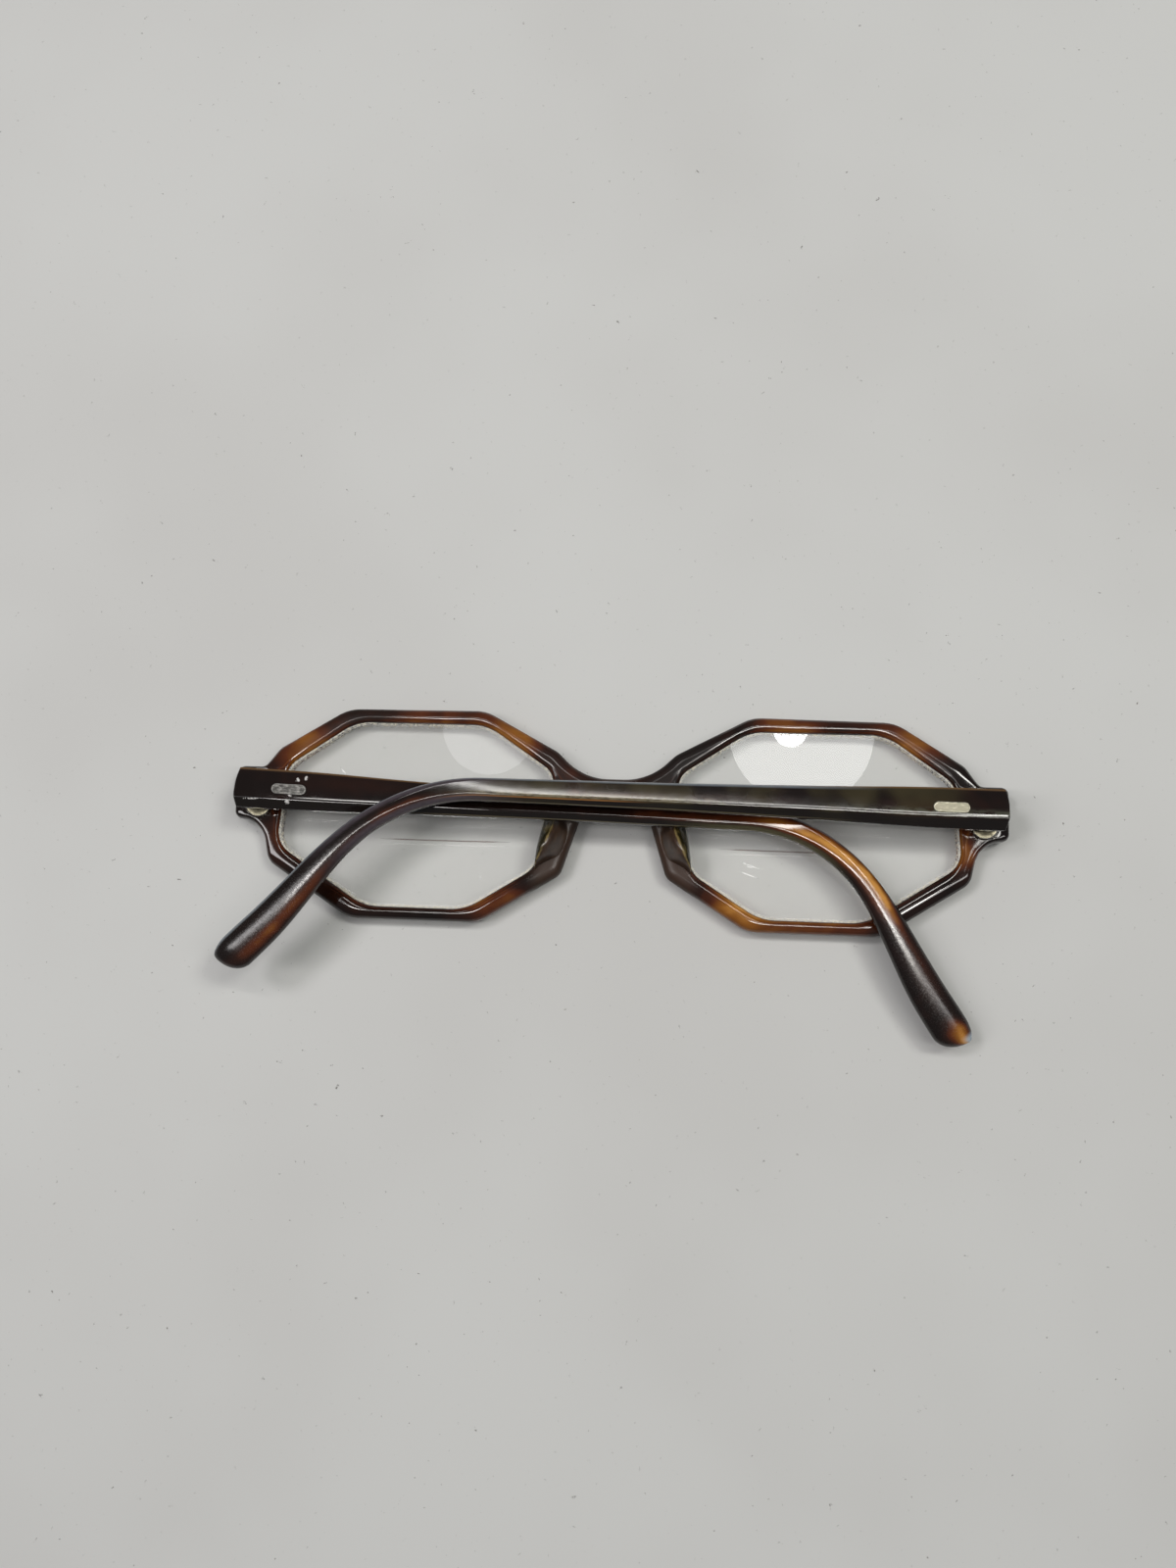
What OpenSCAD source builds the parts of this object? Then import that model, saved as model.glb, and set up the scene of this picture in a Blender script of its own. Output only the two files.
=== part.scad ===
// Octagonal bifocal eyeglasses in acetate, lying folded on their front face.
// The origin is on the front face at the middle of the bridge. X runs across the front, Y is up
// as the glasses are worn, and Z runs from the front face towards the wearer.
// Shapes are drawn from the datum, the line through the middle of both lenses.

/* [Lens openings] */
// Width of each lens opening
eye_w = 46.8; // [44:0.1:49]
// Height of each lens opening
eye_h = 31.4; // [29:0.1:33]
// Distance between the two openings at their nearest
eye_gap = 20.6; // [19.5:0.1:22.5]
// Width of the sloped corner at the top near the nose
cut_top_nose = 12; // [10:0.1:13]
// Width of the sloped corner at the top near the temple
cut_top_side = 12.2; // [10:0.1:13]
// Width of the sloped corner at the bottom near the nose
cut_low_nose = 14.2; // [12:0.1:15]
// Width of the sloped corner at the bottom near the temple
cut_low_side = 15.4; // [13:0.1:16]
// Height of the top end of the upright sides above the datum
side_top = 7.6; // [6:0.1:9]
// Depth of the bottom end of the upright sides below the datum
side_low = 7.2; // [6:0.1:9]
// How far the nose side leans out towards its bottom end
nose_lean = 2.6; // [1.5:0.1:3.5]
// How far the temple side leans in towards its top end
side_lean = 0.9; // [0:0.1:1.5]
// Rounding of the long corners of the opening
eye_round = 9; // [6:0.5:10]
// Rounding of the upright sides' corners of the opening
side_round = 4.5; // [3:0.5:5]

/* [Rims and front] */
// Thickness of the front
front_t = 4.2; // [3.8:0.1:4.8]
// Width of the rim above a lens
rim_top = 2.6; // [2.3:0.1:3.2]
// Width of the rim below a lens
rim_low = 2.1; // [1.8:0.1:2.8]
// Width of the rim beside a lens, towards the temple
rim_side = 1.8; // [1.6:0.1:2.4]
// Rounding of the outer corners of the rims
rim_round = 3.2; // [2:0.1:3.4]
// Width of the rounded edge around the front
edge_w = 0.75; // [0.4:0.05:0.8]
// Depth of the rounded edge around the front
edge_h = 1.1; // [0.6:0.05:1.4]
// Width of the bevel on the wearer's side of a lens opening
bevel_w = 0.5; // [0.2:0.05:0.6]

/* [Bridge] */
// Height of the bridge's saddle above the datum
saddle_top = 7.1; // [6.6:0.1:8]
// Height of the top of the nose arch above the datum
arch_top = 2.7; // [2:0.1:3.5]
// Half the width of the nose arch at its top
arch_w = 5.1; // [4.6:0.1:5.6]
// Rounding of the nose arch
arch_round = 4.2; // [3:0.1:4.8]
// Half the width of the nose opening at its bottom corners
nose_w = 8.9; // [8.2:0.1:9.6]
// Depth of those corners below the datum
nose_low = 9.3; // [8.5:0.1:10]

/* [Endpieces] */
// Width of an endpiece, from the lens opening to its end
end_w = 7.9; // [7.4:0.1:8.4]
// Height of an endpiece
end_h = 9; // [8.6:0.1:9.8]
// Rounding of an endpiece's corners
end_round = 1.3; // [1:0.1:1.6]

/* [Nose pads] */
// Length of a nose pad along the rim
pad_len = 11.3; // [10:0.1:11.6]
// Height of a nose pad's crest above the rim
pad_rise = 3.8; // [3:0.1:4.2]
// Width of a nose pad where it stands on the rim
pad_w = 4.1; // [3.6:0.1:4.3]

/* [Lenses] */
// Radius of a lens's front surface
lens_front_r = 160; // [140:5:200]
// Radius of a lens's back surface
lens_back_r = 150; // [130:5:190]
// Thickness in the middle of a lens
lens_t = 2.1; // [1.8:0.1:2.4]
// Gap between a lens and the table that the front lies on
lens_clear = 0.2; // [0.1:0.05:0.4]
// Height of the lens edge's ridge that sits in the rim's groove
ridge_h = 0.55; // [0.3:0.05:0.6]
// Clearance between a lens and its rim
lens_gap = 0.04; // [0.02:0.01:0.08]
// Width of the reading segment
seg_w = 25; // [22:0.5:28]
// Radius of the reading segment's surface
seg_r = 95; // [85:1:110]
// Distance of the segment's middle from the lens's middle, towards the nose
seg_in = 4.9; // [3:0.1:6]
// Depth of the segment's top line below the datum
seg_line = 4.1; // [3:0.1:5]
// Height of the segment's top line above the middle of its circle
seg_flat = 4.4; // [3.5:0.1:6]

/* [Temples] */
// Length of a temple from its square end to its tip
temple_len = 137; // [132:0.5:142]
// Height of a temple at its square end
temple_h = 6.6; // [6:0.1:7]
// Thickness of a temple at its square end
temple_t = 3.1; // [2.9:0.1:3.3]
// Rounding of the edges around the square end
end_break = 1; // [0.6:0.1:1.4]
// Distance from the square end to the start of its taper
taper_start = 13; // [10:1:16]
// Distance from the square end to the end of its first, steeper taper
taper_end = 28; // [24:1:34]
// Distance from the square end to the slim part of the shaft
slim_start = 55; // [45:1:65]
// Height of a temple where it bends behind the ear
bend_h = 3.6; // [3.3:0.1:4.2]
// Distance from the start of the bend to the neck of the paddle
neck_len = 22; // [18:1:26]
// Length of the widening paddle, back from the tip
paddle_len = 22; // [18:1:26]
// Length of the paddle's full part, back from the tip
paddle_full = 9; // [7:1:11]
// Height of the paddle near the tip
tip_h = 6.2; // [5.8:0.1:7]
// Thickness of the paddle near the tip
tip_t = 3.5; // [3:0.1:4]
// Distance from the square end to the start of the bend
bend_start = 84.5; // [81:0.5:85.5]
// Radius of the left temple's bend
bend_r_left = 26; // [24:0.5:30]
// Radius of the right temple's bend
bend_r_right = 31; // [25:0.5:32]
// Angle of the left temple's bend
bend_left = 54; // [50:1:58]
// Angle of the right temple's bend
bend_right = 45; // [42:1:54]
// How far the paddle curves in towards the head
tail_in = 2; // [0.5:0.1:2.2]
// How far the paddle hangs below the line of its wire
belly = 1.4; // [0.5:0.1:1.8]
// How far the tip turns back up
tip_lift = 1.6; // [0:0.1:2.2]
// Angle by which the left temple hangs below square
droop_left = 1.7; // [1:0.05:1.9]
// Angle by which the right temple hangs below square
droop_right = -0.35; // [-0.4:0.05:0.3]
// Angle of the folded left temple, down towards the front
fold_left = 1.5; // [1.5:0.05:1.6]
// Angle of the folded right temple, up over the left one
fold_right = 1.6; // [1.55:0.05:2.2]

/* [Hinges] */
// Distance of a hinge pin from the end of its endpiece
pin_set_in = 4.2; // [4:0.1:4.4]
// Height of a hinge pin above the wearer's side of the front
pin_rise = 2.55; // [2.5:0.05:2.8]
// Radius of a hinge barrel
barrel_r = 1.3; // [1.2:0.05:1.35]
// Number of barrels in a hinge, three on the front and two on the temple
barrels = 5; // [5]
// Height of one barrel with the gap below it
barrel_pitch = 1.24; // [1.15:0.01:1.3]
// Gap between two barrels
barrel_gap = 0.06; // [0.04:0.01:0.1]
// Radius of a hinge screw's shaft
screw_r = 0.68; // [0.6:0.01:0.7]
// Radius of a hinge screw's head
head_r = 1; // [0.95:0.01:1.05]
// Height of a hinge screw's head
head_h = 0.5; // [0.4:0.05:0.6]
// Running clearance around a hinge screw
screw_gap = 0.04; // [0.02:0.01:0.08]
// Gap between the temple and the pin's barrels
barrel_room = 0.12; // [0.1:0.01:0.2]
// Gap between a temple's square end and the endpiece when it is open
stop_gap = 0.3; // [0.25:0.05:0.4]
// Distance from the pin to a temple's inner face
pin_in = 0.9; // [0.85:0.05:1]
// Length of the plate in an endpiece
front_plate_len = 8; // [7.4:0.1:8.2]
// Width of the plate in an endpiece
front_plate_w = 4.2; // [4:0.1:4.4]
// Length of the plate on a temple from the pin
temple_plate_len = 10; // [9.6:0.1:11]
// Width of the plate on a temple
temple_plate_w = 4.4; // [4:0.1:4.6]
// Thickness of both hinge plates
plate_t = 0.8; // [0.7:0.05:0.9]
// Clearance around a plate, peg or rivet in the acetate
seat_gap = 0.02; // [0.01:0.01:0.05]

/* [Shields and cores] */
// Length of the shield on a temple
shield_len = 5.8; // [5:0.1:6]
// Width of the shield on a temple
shield_w = 1.75; // [1.5:0.05:2]
// Thickness of the shield
shield_t = 0.5; // [0.4:0.05:0.6]
// Distance of the shield's middle from the pin
shield_at = 7; // [6.4:0.1:7.2]
// Distance between the shield's two rivets
rivet_gap = 3.2; // [3:0.1:3.6]
// Radius of a rivet
rivet_r = 0.45; // [0.4:0.05:0.5]
// Radius of the core wire in a temple
core_r = 0.6; // [0.5:0.05:0.7]
// Distance from the pin to the start of the core wire
core_start = 12.5; // [12:0.5:16]

/* [Hidden] */
acetate = "#3b1a0c";
pad_colour = "#5a4a1e";
lens_colour = [0.82, 0.86, 0.88, 0.4];
steel = "#b9b6ad";
arc_step = 9;
datum = -(saddle_top + arch_top) / 2;
eye_x0 = eye_gap / 2;
eye_x1 = eye_x0 + eye_w;
eye_x = (eye_x0 + eye_x1) / 2;
eye_top = eye_h / 2;
end_x = eye_x1 + end_w;
pin_x = end_x - pin_set_in;
hinge_y = 2.9;
pin_z = front_t + pin_rise;
butt = pin_rise - stop_gap;
knuckle_h = barrel_pitch - barrel_gap;
stack_h = barrels * barrel_pitch - barrel_gap;
groove_z = front_t * 0.55;
groove_w = 0.55;
tip_round = tip_h * 0.6;
section_points = 16;
plate_start = barrel_r + barrel_room + 0.1;
plate_proud = 0.2;
web_len = 2.4;
web_back = 0.4;
peg_x = 0.9;
peg_y = 2.4;
peg_len = 1.6;
slot_w = 0.3;
slot_deep = 0.15;
pad_top = 0.2;
pad_sunk = 0.05;
far = 400;

// Outlines of the lens opening and of the front, as corners with their rounding radii,
// counter-clockwise seen from the wearer's side
eye_corners = [
    [eye_x0, side_top, side_round * 0.7],
    [eye_x0 + nose_lean, -side_low * 1.17, side_round],
    [eye_x0 + cut_low_nose, -eye_top, eye_round],
    [eye_x1 - cut_low_side, -eye_top, eye_round],
    [eye_x1, -side_low * 0.8, side_round],
    [eye_x1 - side_lean, side_top, side_round],
    [eye_x1 - cut_top_side, eye_top, eye_round],
    [eye_x0 + cut_top_nose, eye_top, eye_round]
];
end_top = hinge_y + end_h / 2 + 0.15;
end_low = end_top - end_h;
half_front = [
    [arch_w, arch_top, arch_round],
    [nose_w, -nose_low, rim_round * 0.8],
    [eye_x0 + cut_low_nose - rim_low, -eye_top - rim_low, rim_round],
    [eye_x1 - cut_low_side + rim_low * 1.25, -eye_top - rim_low, rim_round],
    [eye_x1 + rim_side * 0.9, -side_low - rim_side * 0.8, rim_round],
    [eye_x1 + rim_side * 1.7, end_low - rim_side * 0.3, rim_round * 1.4],
    [end_x, end_low, end_round],
    [end_x, end_top, end_round],
    [eye_x1 + rim_side * 1.8, end_top, end_round],
    [eye_x1 + rim_side * 0.5, side_top + rim_side * 1.8, rim_round],
    [eye_x1 - cut_top_side + rim_top * 0.6, eye_top + rim_top * 0.9, rim_round],
    [eye_x0 + cut_top_nose + rim_top * 0.15, eye_top + rim_top, rim_round],
    [eye_x0 - rim_top * 0.1, side_top + rim_top * 1.5, rim_round * 1.5],
    [saddle_top * 0.78, saddle_top, rim_round * 3.2]
];

function unit(v) = v / norm(v);
function turned(v, a) = [v.x * cos(a) - v.y * sin(a), v.x * sin(a) + v.y * cos(a)];
function across(c) = [-c[0], c[1], c[2]];
function mirrored(corners) = [for (i = [len(corners) - 1:-1:0]) across(corners[i])];

// Arc that rounds corner b between a and c
function arc_at(a, b, c, r) =
    let (
        p = unit(b - a),
        q = unit(c - b),
        side = sign(cross(p, q)),
        turn = acos(p * q),
        start = b - p * r * tan(turn / 2),
        middle = start + turned(p, side * 90) * r,
        steps = max(2, ceil(turn / arc_step))
    )
    [for (i = [0:steps]) middle + turned(start - middle, side * turn * i / steps)];

function flat(c) = [c[0], c[1]];
function rounded(c) =
    let (n = len(c))
    [for (i = [0:n - 1]) each arc_at(flat(c[(i + n - 1) % n]), flat(c[i]), flat(c[(i + 1) % n]), c[i][2])];

// Outline moved outwards by g along the bisectors of its corners
function grown(p, g) =
    let (n = len(p))
    [for (i = [0:n - 1])
        let (
            u = unit(p[i] - p[(i + n - 1) % n]),
            v = unit(p[(i + 1) % n] - p[i])
        )
        p[i] + g * ([u.y, -u.x] + [v.y, -v.x]) / (1 + u * v)];

function mean(v) = let (n = len(v)) [for (i = [0:n - 1]) 1 / n] * v;

// Closed skin over rings of equally many points, each end closed by a fan around its hub
module skin(rings, hubs) {
    n = len(rings[0]);
    m = len(rings);
    walls = [for (j = [0:m - 2]) for (i = [0:n - 1])
        let (k = (i + 1) % n)
        [j * n + i, (j + 1) * n + i, (j + 1) * n + k, j * n + k]];
    first = [for (i = [0:n - 1]) [m * n, i, (i + 1) % n]];
    last = [for (i = [0:n - 1]) [m * n + 1, (m - 1) * n + (i + 1) % n, (m - 1) * n + i]];
    polyhedron(concat([for (r = rings) each r], hubs), concat(first, walls, last));
}

module skin_round(rings) {
    skin(rings, [mean(rings[0]), mean(rings[len(rings) - 1])]);
}

// Solid over an outline whose edge follows rows of growth and height
module moulded(outline, rows) {
    skin_round([for (r = rows) [for (q = grown(outline, r[0])) [q.x, q.y, r[1]]]]);
}

// Flat bar with round ends, along Y
module bar(length, width, height) {
    straight = length - width;
    translate([-width / 2, -straight / 2, 0]) cube([width, straight, height]);
    for (s = [-1, 1]) {
        translate([0, s * straight / 2, 0]) cylinder(d = width, h = height, $fn = 48);
    }
}

module on_side(side) {
    if (side == "left") mirror([1, 0, 0]) children();
    else children();
}

function fold(side) = side == "left" ? -fold_left : fold_right;
function droop(side) = side == "left" ? droop_left : droop_right;
function bend(side) = side == "left" ? bend_left : bend_right;
function bend_r(side) = side == "left" ? bend_r_left : bend_r_right;

// The hinge's own frame: the pin along Y through the origin, X outwards, Z away from the front
module at_hinge(side) {
    on_side(side) translate([pin_x, datum + hinge_y, pin_z]) children();
}

module at_temple(side) {
    at_hinge(side) rotate([0, fold(side), 0]) children();
}

// Front: rims, bridge and endpieces cut from one sheet, its edge rounded on both faces.
// One half of the outline is walked from the arch round to the saddle and closed on the middle line.
function front_ring(g, z) =
    let (whole = grown(rounded(concat(half_front, mirrored(half_front))), g))
    concat(
        [[0, arch_top - g, z]],
        [for (i = [0:len(whole) / 2 - 1]) [whole[i].x, whole[i].y, z]],
        [[0, saddle_top + g, z]]
    );

module front_half() {
    hub = [eye_x - eye_w / 12, (saddle_top + arch_top) / 2];
    rows = [
        [-edge_w, 0],
        [-edge_w * 0.3, edge_h * 0.25],
        [0, edge_h],
        [0, front_t - edge_h],
        [-edge_w * 0.3, front_t - edge_h * 0.25],
        [-edge_w, front_t]
    ];
    skin([for (r = rows) front_ring(r[0], r[1])], [[hub.x, hub.y, 0], [hub.x, hub.y, front_t]]);
}

module eye_cutter() {
    moulded(
        rounded(eye_corners),
        [
            [bevel_w + 0.5, -0.5],
            [0, 0.5],
            [0, groove_z - groove_w],
            [ridge_h, groove_z],
            [0, groove_z + groove_w],
            [0, front_t - bevel_w],
            [bevel_w + 0.5, front_t + 0.5]
        ]
    );
}

module front_plate_seat() {
    translate([0, 0, -pin_rise - plate_t - seat_gap])
        bar(front_plate_len + 2 * seat_gap, front_plate_w + 2 * seat_gap, far);
    front_pegs(seat_gap);
}

module front_pegs(extra) {
    for (s = [-1, 1]) {
        translate([peg_x, s * peg_y, -pin_rise - plate_t - peg_len - extra])
            cylinder(r = rivet_r + extra, h = peg_len + 2 * extra, $fn = 32);
    }
}

module frame_front() color(acetate) difference() {
    for (side = ["left", "right"]) {
        on_side(side) translate([0, datum, 0]) front_half();
    }
    for (side = ["left", "right"]) {
        on_side(side) translate([0, datum, 0]) eye_cutter();
        at_hinge(side) front_plate_seat();
    }
}

// Nose pad: a crested teardrop that stands on the rim beside the nose opening
function pad_height(t) = pow(sin(180 * pow(t, 1.5)), 0.8);
function pad_ring(t) =
    let (
        y = pad_top - pad_len * t,
        arch_lean = (nose_w - arch_w) / (arch_top + nose_low),
        low_lean = (eye_x0 + cut_low_nose - rim_low - nose_w) / (eye_top + rim_low - nose_low),
        edge = max(arch_w + (arch_top - y) * arch_lean, nose_w - (y + nose_low) * low_lean),
        x0 = edge + edge_w + pad_sunk,
        w = pad_w * pow(sin(180 * t), 0.3),
        h = pad_rise * pad_height(t) + pad_sunk
    )
    [
        [x0, y, front_t],
        [x0 + w * 0.18, y, front_t + h * 0.4],
        [x0 + w * 0.4, y, front_t + h * 0.8],
        [x0 + w * 0.62, y, front_t + h],
        [x0 + w * 0.82, y, front_t + h * 0.84],
        [x0 + w * 0.94, y, front_t + h * 0.48],
        [x0 + w, y, front_t]
    ];

module nose_pad(side) color(pad_colour) on_side(side) translate([0, datum, 0])
    skin_round([for (i = [0:14]) pad_ring(0.02 + 0.96 * i / 14)]);

// Lens: a meniscus between two spheres, with the reading segment's steeper cap on its front
module lens(side) color(lens_colour) on_side(side) translate([0, datum, 0]) intersection() {
    moulded(
        rounded(eye_corners),
        [
            [-lens_gap, -1],
            [-lens_gap, groove_z - groove_w - 0.05],
            [ridge_h - 2 * lens_gap, groove_z],
            [-lens_gap, groove_z + groove_w + 0.05],
            [-lens_gap, front_t + 1]
        ]
    );
    difference() {
        union() {
            translate([eye_x, 0, lens_clear + lens_front_r]) sphere(r = lens_front_r, $fn = 96);
            intersection() {
                translate(seg_middle) sphere(r = seg_r, $fn = 96);
                translate([eye_x - seg_in - far / 2, -far - seg_line, -far / 2]) cube(far);
            }
        }
        translate([eye_x, 0, lens_clear + lens_t + lens_back_r]) sphere(r = lens_back_r, $fn = 96);
    }
}

// The segment's sphere meets the front sphere in a circle of the segment's width
seg_low = seg_line + seg_flat;
seg_out = norm([seg_in, seg_low]);
seg_dir = [-seg_in, -seg_low, -sqrt(lens_front_r * lens_front_r - seg_out * seg_out)] / lens_front_r;
seg_back = sqrt(pow(lens_front_r, 2) - pow(seg_w / 2, 2)) - sqrt(pow(seg_r, 2) - pow(seg_w / 2, 2));
seg_middle = [eye_x, 0, lens_clear + lens_front_r] + seg_dir * seg_back;

// Hinge barrels number i of the stack, counted from the middle
module barrel(i) {
    translate([0, i * barrel_pitch, 0]) rotate([90, 0, 0])
        cylinder(r = barrel_r, h = knuckle_h, center = true, $fn = 64);
}

module pin_bore(r) {
    rotate([90, 0, 0]) cylinder(r = r, h = 3 * stack_h, center = true, $fn = 64);
}

module front_hinge(side) color(steel) at_hinge(side) difference() {
    union() {
        translate([0, 0, -pin_rise - plate_t]) bar(front_plate_len, front_plate_w, plate_t);
        front_pegs(0);
        for (i = [-2, 0, 2]) {
            barrel(i);
            translate([-barrel_r, i * barrel_pitch - knuckle_h / 2, -pin_rise - plate_t / 2])
                cube([barrel_r + web_back, knuckle_h, pin_rise + plate_t / 2]);
        }
    }
    pin_bore(screw_r + screw_gap);
    translate([0, stack_h / 2 - head_h, 0]) rotate([-90, 0, 0])
        cylinder(r = head_r + screw_gap, h = 2, $fn = 64);
}

module hinge_screw(side) color(steel) at_hinge(side) difference() {
    union() {
        rotate([90, 0, 0]) cylinder(r = screw_r, h = stack_h, center = true, $fn = 64);
        translate([0, stack_h / 2 - head_h + screw_gap, 0]) rotate([-90, 0, 0])
            cylinder(r = head_r, h = head_h, $fn = 64);
    }
    translate([-2 * head_r, stack_h / 2 - slot_deep, -slot_w / 2]) cube([4 * head_r, 1, slot_w]);
}

// Temple hinge: two barrels on a plate that is let into the temple's inner face
module temple_hinge(side) color(steel) at_temple(side) difference() {
    union() {
        temple_plate(0);
        for (i = [-1, 1]) {
            barrel(i);
            translate([-web_len, i * barrel_pitch - knuckle_h / 2, -barrel_r])
                cube([web_len, knuckle_h, barrel_r + pin_in - seat_gap]);
        }
    }
    pin_bore(screw_r + screw_gap);
    for (s = [-1, 1]) {
        translate([-shield_at + s * rivet_gap / 2, 0, 0])
            cylinder(r = rivet_r + seat_gap, h = 2 * temple_t, center = true, $fn = 32);
    }
}

module temple_plate(extra) {
    round_x = -temple_plate_len + temple_plate_w / 2;
    translate([round_x, -temple_plate_w / 2 - extra, pin_in - plate_proud])
        cube([-round_x - plate_start + extra, temple_plate_w + 2 * extra, plate_t + extra]);
    translate([round_x, 0, pin_in - plate_proud])
        cylinder(d = temple_plate_w + 2 * extra, h = plate_t + extra, $fn = 48);
}

// Temple: an oblong section carried along a straight run, a bend and a paddle
function bend_end(side) = bend_start + bend_r(side) * bend(side) * PI / 180;
function heading(s, side) = min(max(0, s - bend_start) / bend_r(side) * 180 / PI, bend(side));
function path_x(s, side) =
    let (a = heading(s, side), e = bend_end(side))
    min(s, bend_start) + bend_r(side) * sin(a) + max(0, s - e) * cos(a);
function path_y(s, side) =
    let (a = heading(s, side), e = bend_end(side))
    -bend_r(side) * (1 - cos(a)) - max(0, s - e) * sin(a);
function closing(s) =
    let (d = temple_len - s)
    d >= tip_round ? 1 : sqrt(max(0.0004, 1 - pow(1 - d / tip_round, 2)));
function height_at(s) = closing(s) * lookup(s, [
    [0, temple_h - end_break * 0.7],
    [end_break * 0.35, temple_h - end_break * 0.1],
    [end_break, temple_h],
    [taper_start, temple_h * 0.99],
    [taper_end, temple_h * 0.84],
    [slim_start, temple_h * 0.67],
    [bend_start, bend_h * 1.08],
    [bend_start + neck_len * 0.65, bend_h],
    [bend_start + neck_len, bend_h * 1.03],
    [temple_len - paddle_len, bend_h * 1.3],
    [temple_len - paddle_full, tip_h],
    [temple_len, tip_h]
]);
function thickness_at(s) = closing(s) * lookup(s, [
    [0, temple_t - end_break * 0.5],
    [end_break * 0.35, temple_t - end_break * 0.08],
    [end_break, temple_t],
    [taper_end, temple_t * 0.97],
    [bend_start, temple_t * 0.935],
    [bend_start + neck_len, temple_t * 0.935],
    [temple_len - paddle_full, tip_t],
    [temple_len, tip_t]
]);
function squareness(s) = lookup(s, [[0, 0.5], [taper_end, 0.55], [bend_start, 0.75], [temple_len, 0.85]]);
function along_tail(s, side) = let (e = bend_end(side)) max(0, s - e) / (temple_len - e);
function bowed(s, side) = -tail_in * pow(along_tail(s, side), 2);
// The paddle hangs below the wire's line and its tip turns back up
function sagged(s, side) =
    let (t = min(1, along_tail(s, side) * 1.4))
    -belly * t * t * (3 - 2 * t) + tip_lift * (1 - closing(s));
function power(v, e) = sign(v) * pow(abs(v), e);

function temple_ring(s, side) =
    let (
        a = heading(s, side),
        p = [butt - path_x(s, side), path_y(s, side)],
        up = [-sin(a), cos(a)],
        h = height_at(s) / 2,
        t = thickness_at(s) / 2,
        mid = pin_in + temple_t / 2 + bowed(s, side),
        sag = sagged(s, side),
        e = squareness(s)
    )
    [for (i = [0:section_points - 1])
        let (
            q = 360 * (i + 0.5) / section_points,
            v = sag + h * power(cos(q), e),
            w = t * power(sin(q), e),
            c = p + up * v
        )
        [c.x, c.y, mid + w]];

temple_stations = [
    0, end_break * 0.35, end_break, taper_start / 2, taper_start, (taper_start + taper_end) / 2, taper_end,
    for (i = [1:3]) taper_end + i * (slim_start - taper_end) / 3,
    for (i = [1:2]) slim_start + i * (bend_start - slim_start) / 3,
    for (i = [0:11]) bend_start + i * (temple_len - paddle_len - bend_start) / 11,
    for (i = [1:4]) temple_len - paddle_len + i * (paddle_len - tip_round) / 4,
    for (a = [25:15:85]) temple_len - tip_round * (1 - sin(a)),
    temple_len - 0.01
];

module temple_blank(side) {
    rotate([0, 0, droop(side)]) skin_round([for (s = temple_stations) temple_ring(s, side)]);
}

// Core wire's own shape, straight and then round the bend
module core(side, extra) {
    r = core_r + extra;
    round_r = bend_r(side);
    stop = bend(side) - 8;
    x0 = butt - bend_start;
    rotate([0, 0, droop(side)]) translate([0, 0, pin_in + temple_t / 2]) {
        translate([x0, 0, 0]) rotate([0, 90, 0])
            cylinder(r = r, h = -core_start - x0 + extra, $fn = 32);
        translate([x0, -round_r, 0]) rotate([0, 0, 90])
            rotate_extrude(angle = stop, $fn = 96) translate([round_r, 0]) circle(r = r, $fn = 32);
    }
}

module shield(extra) {
    top = pin_in + temple_t;
    translate([-shield_at, 0, top - shield_t - extra]) rotate([0, 0, 90])
        bar(shield_len + 2 * extra, shield_w + 2 * extra, shield_t + extra + (extra > 0 ? 1 : 0));
    for (s = [-1, 1]) {
        translate([-shield_at + s * rivet_gap / 2, 0, pin_in - plate_proud])
            cylinder(r = rivet_r + extra, h = temple_t + plate_proud - shield_t / 2, $fn = 32);
    }
}

module temple(side) color(acetate) at_temple(side) difference() {
    temple_blank(side);
    rotate([90, 0, 0]) cylinder(r = barrel_r + barrel_room, h = 3 * temple_h, center = true, $fn = 64);
    translate([0, 0, -seat_gap]) temple_plate(seat_gap);
    shield(seat_gap);
    core(side, seat_gap);
}

module temple_shield(side) color(steel) at_temple(side) shield(0);
module temple_core(side) color(steel) at_temple(side) core(side, 0);

frame_front();
nose_pad("left");  // nose_pad_left
nose_pad("right");  // nose_pad_right
lens("left");  // lens_left
lens("right");  // lens_right
front_hinge("left");  // front_hinge_left
front_hinge("right");  // front_hinge_right
hinge_screw("left");  // hinge_screw_left
hinge_screw("right");  // hinge_screw_right
temple("left");  // temple_left
temple("right");  // temple_right
temple_hinge("left");  // temple_hinge_left
temple_hinge("right");  // temple_hinge_right
temple_shield("left");  // temple_shield_left
temple_shield("right");  // temple_shield_right
temple_core("left");  // temple_core_left
temple_core("right");  // temple_core_right
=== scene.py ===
import bmesh
import bpy
import numpy as np
from mathutils import Matrix, Quaternion, Vector


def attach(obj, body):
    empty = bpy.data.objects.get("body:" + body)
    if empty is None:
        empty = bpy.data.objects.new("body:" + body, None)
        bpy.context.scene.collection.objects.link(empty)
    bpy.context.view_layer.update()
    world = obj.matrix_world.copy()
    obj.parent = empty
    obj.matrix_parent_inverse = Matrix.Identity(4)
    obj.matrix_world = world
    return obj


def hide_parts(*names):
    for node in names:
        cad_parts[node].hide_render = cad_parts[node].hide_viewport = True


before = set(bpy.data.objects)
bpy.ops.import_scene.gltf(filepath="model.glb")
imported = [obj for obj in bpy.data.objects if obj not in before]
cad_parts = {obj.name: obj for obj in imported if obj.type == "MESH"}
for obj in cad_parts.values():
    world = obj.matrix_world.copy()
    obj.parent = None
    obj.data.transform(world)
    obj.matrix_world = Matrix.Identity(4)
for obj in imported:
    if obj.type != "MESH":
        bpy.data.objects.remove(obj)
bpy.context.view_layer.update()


mm = 0.001
sides = {"left": -1, "right": 1}   # the wearer's, with the sign of their x

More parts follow.
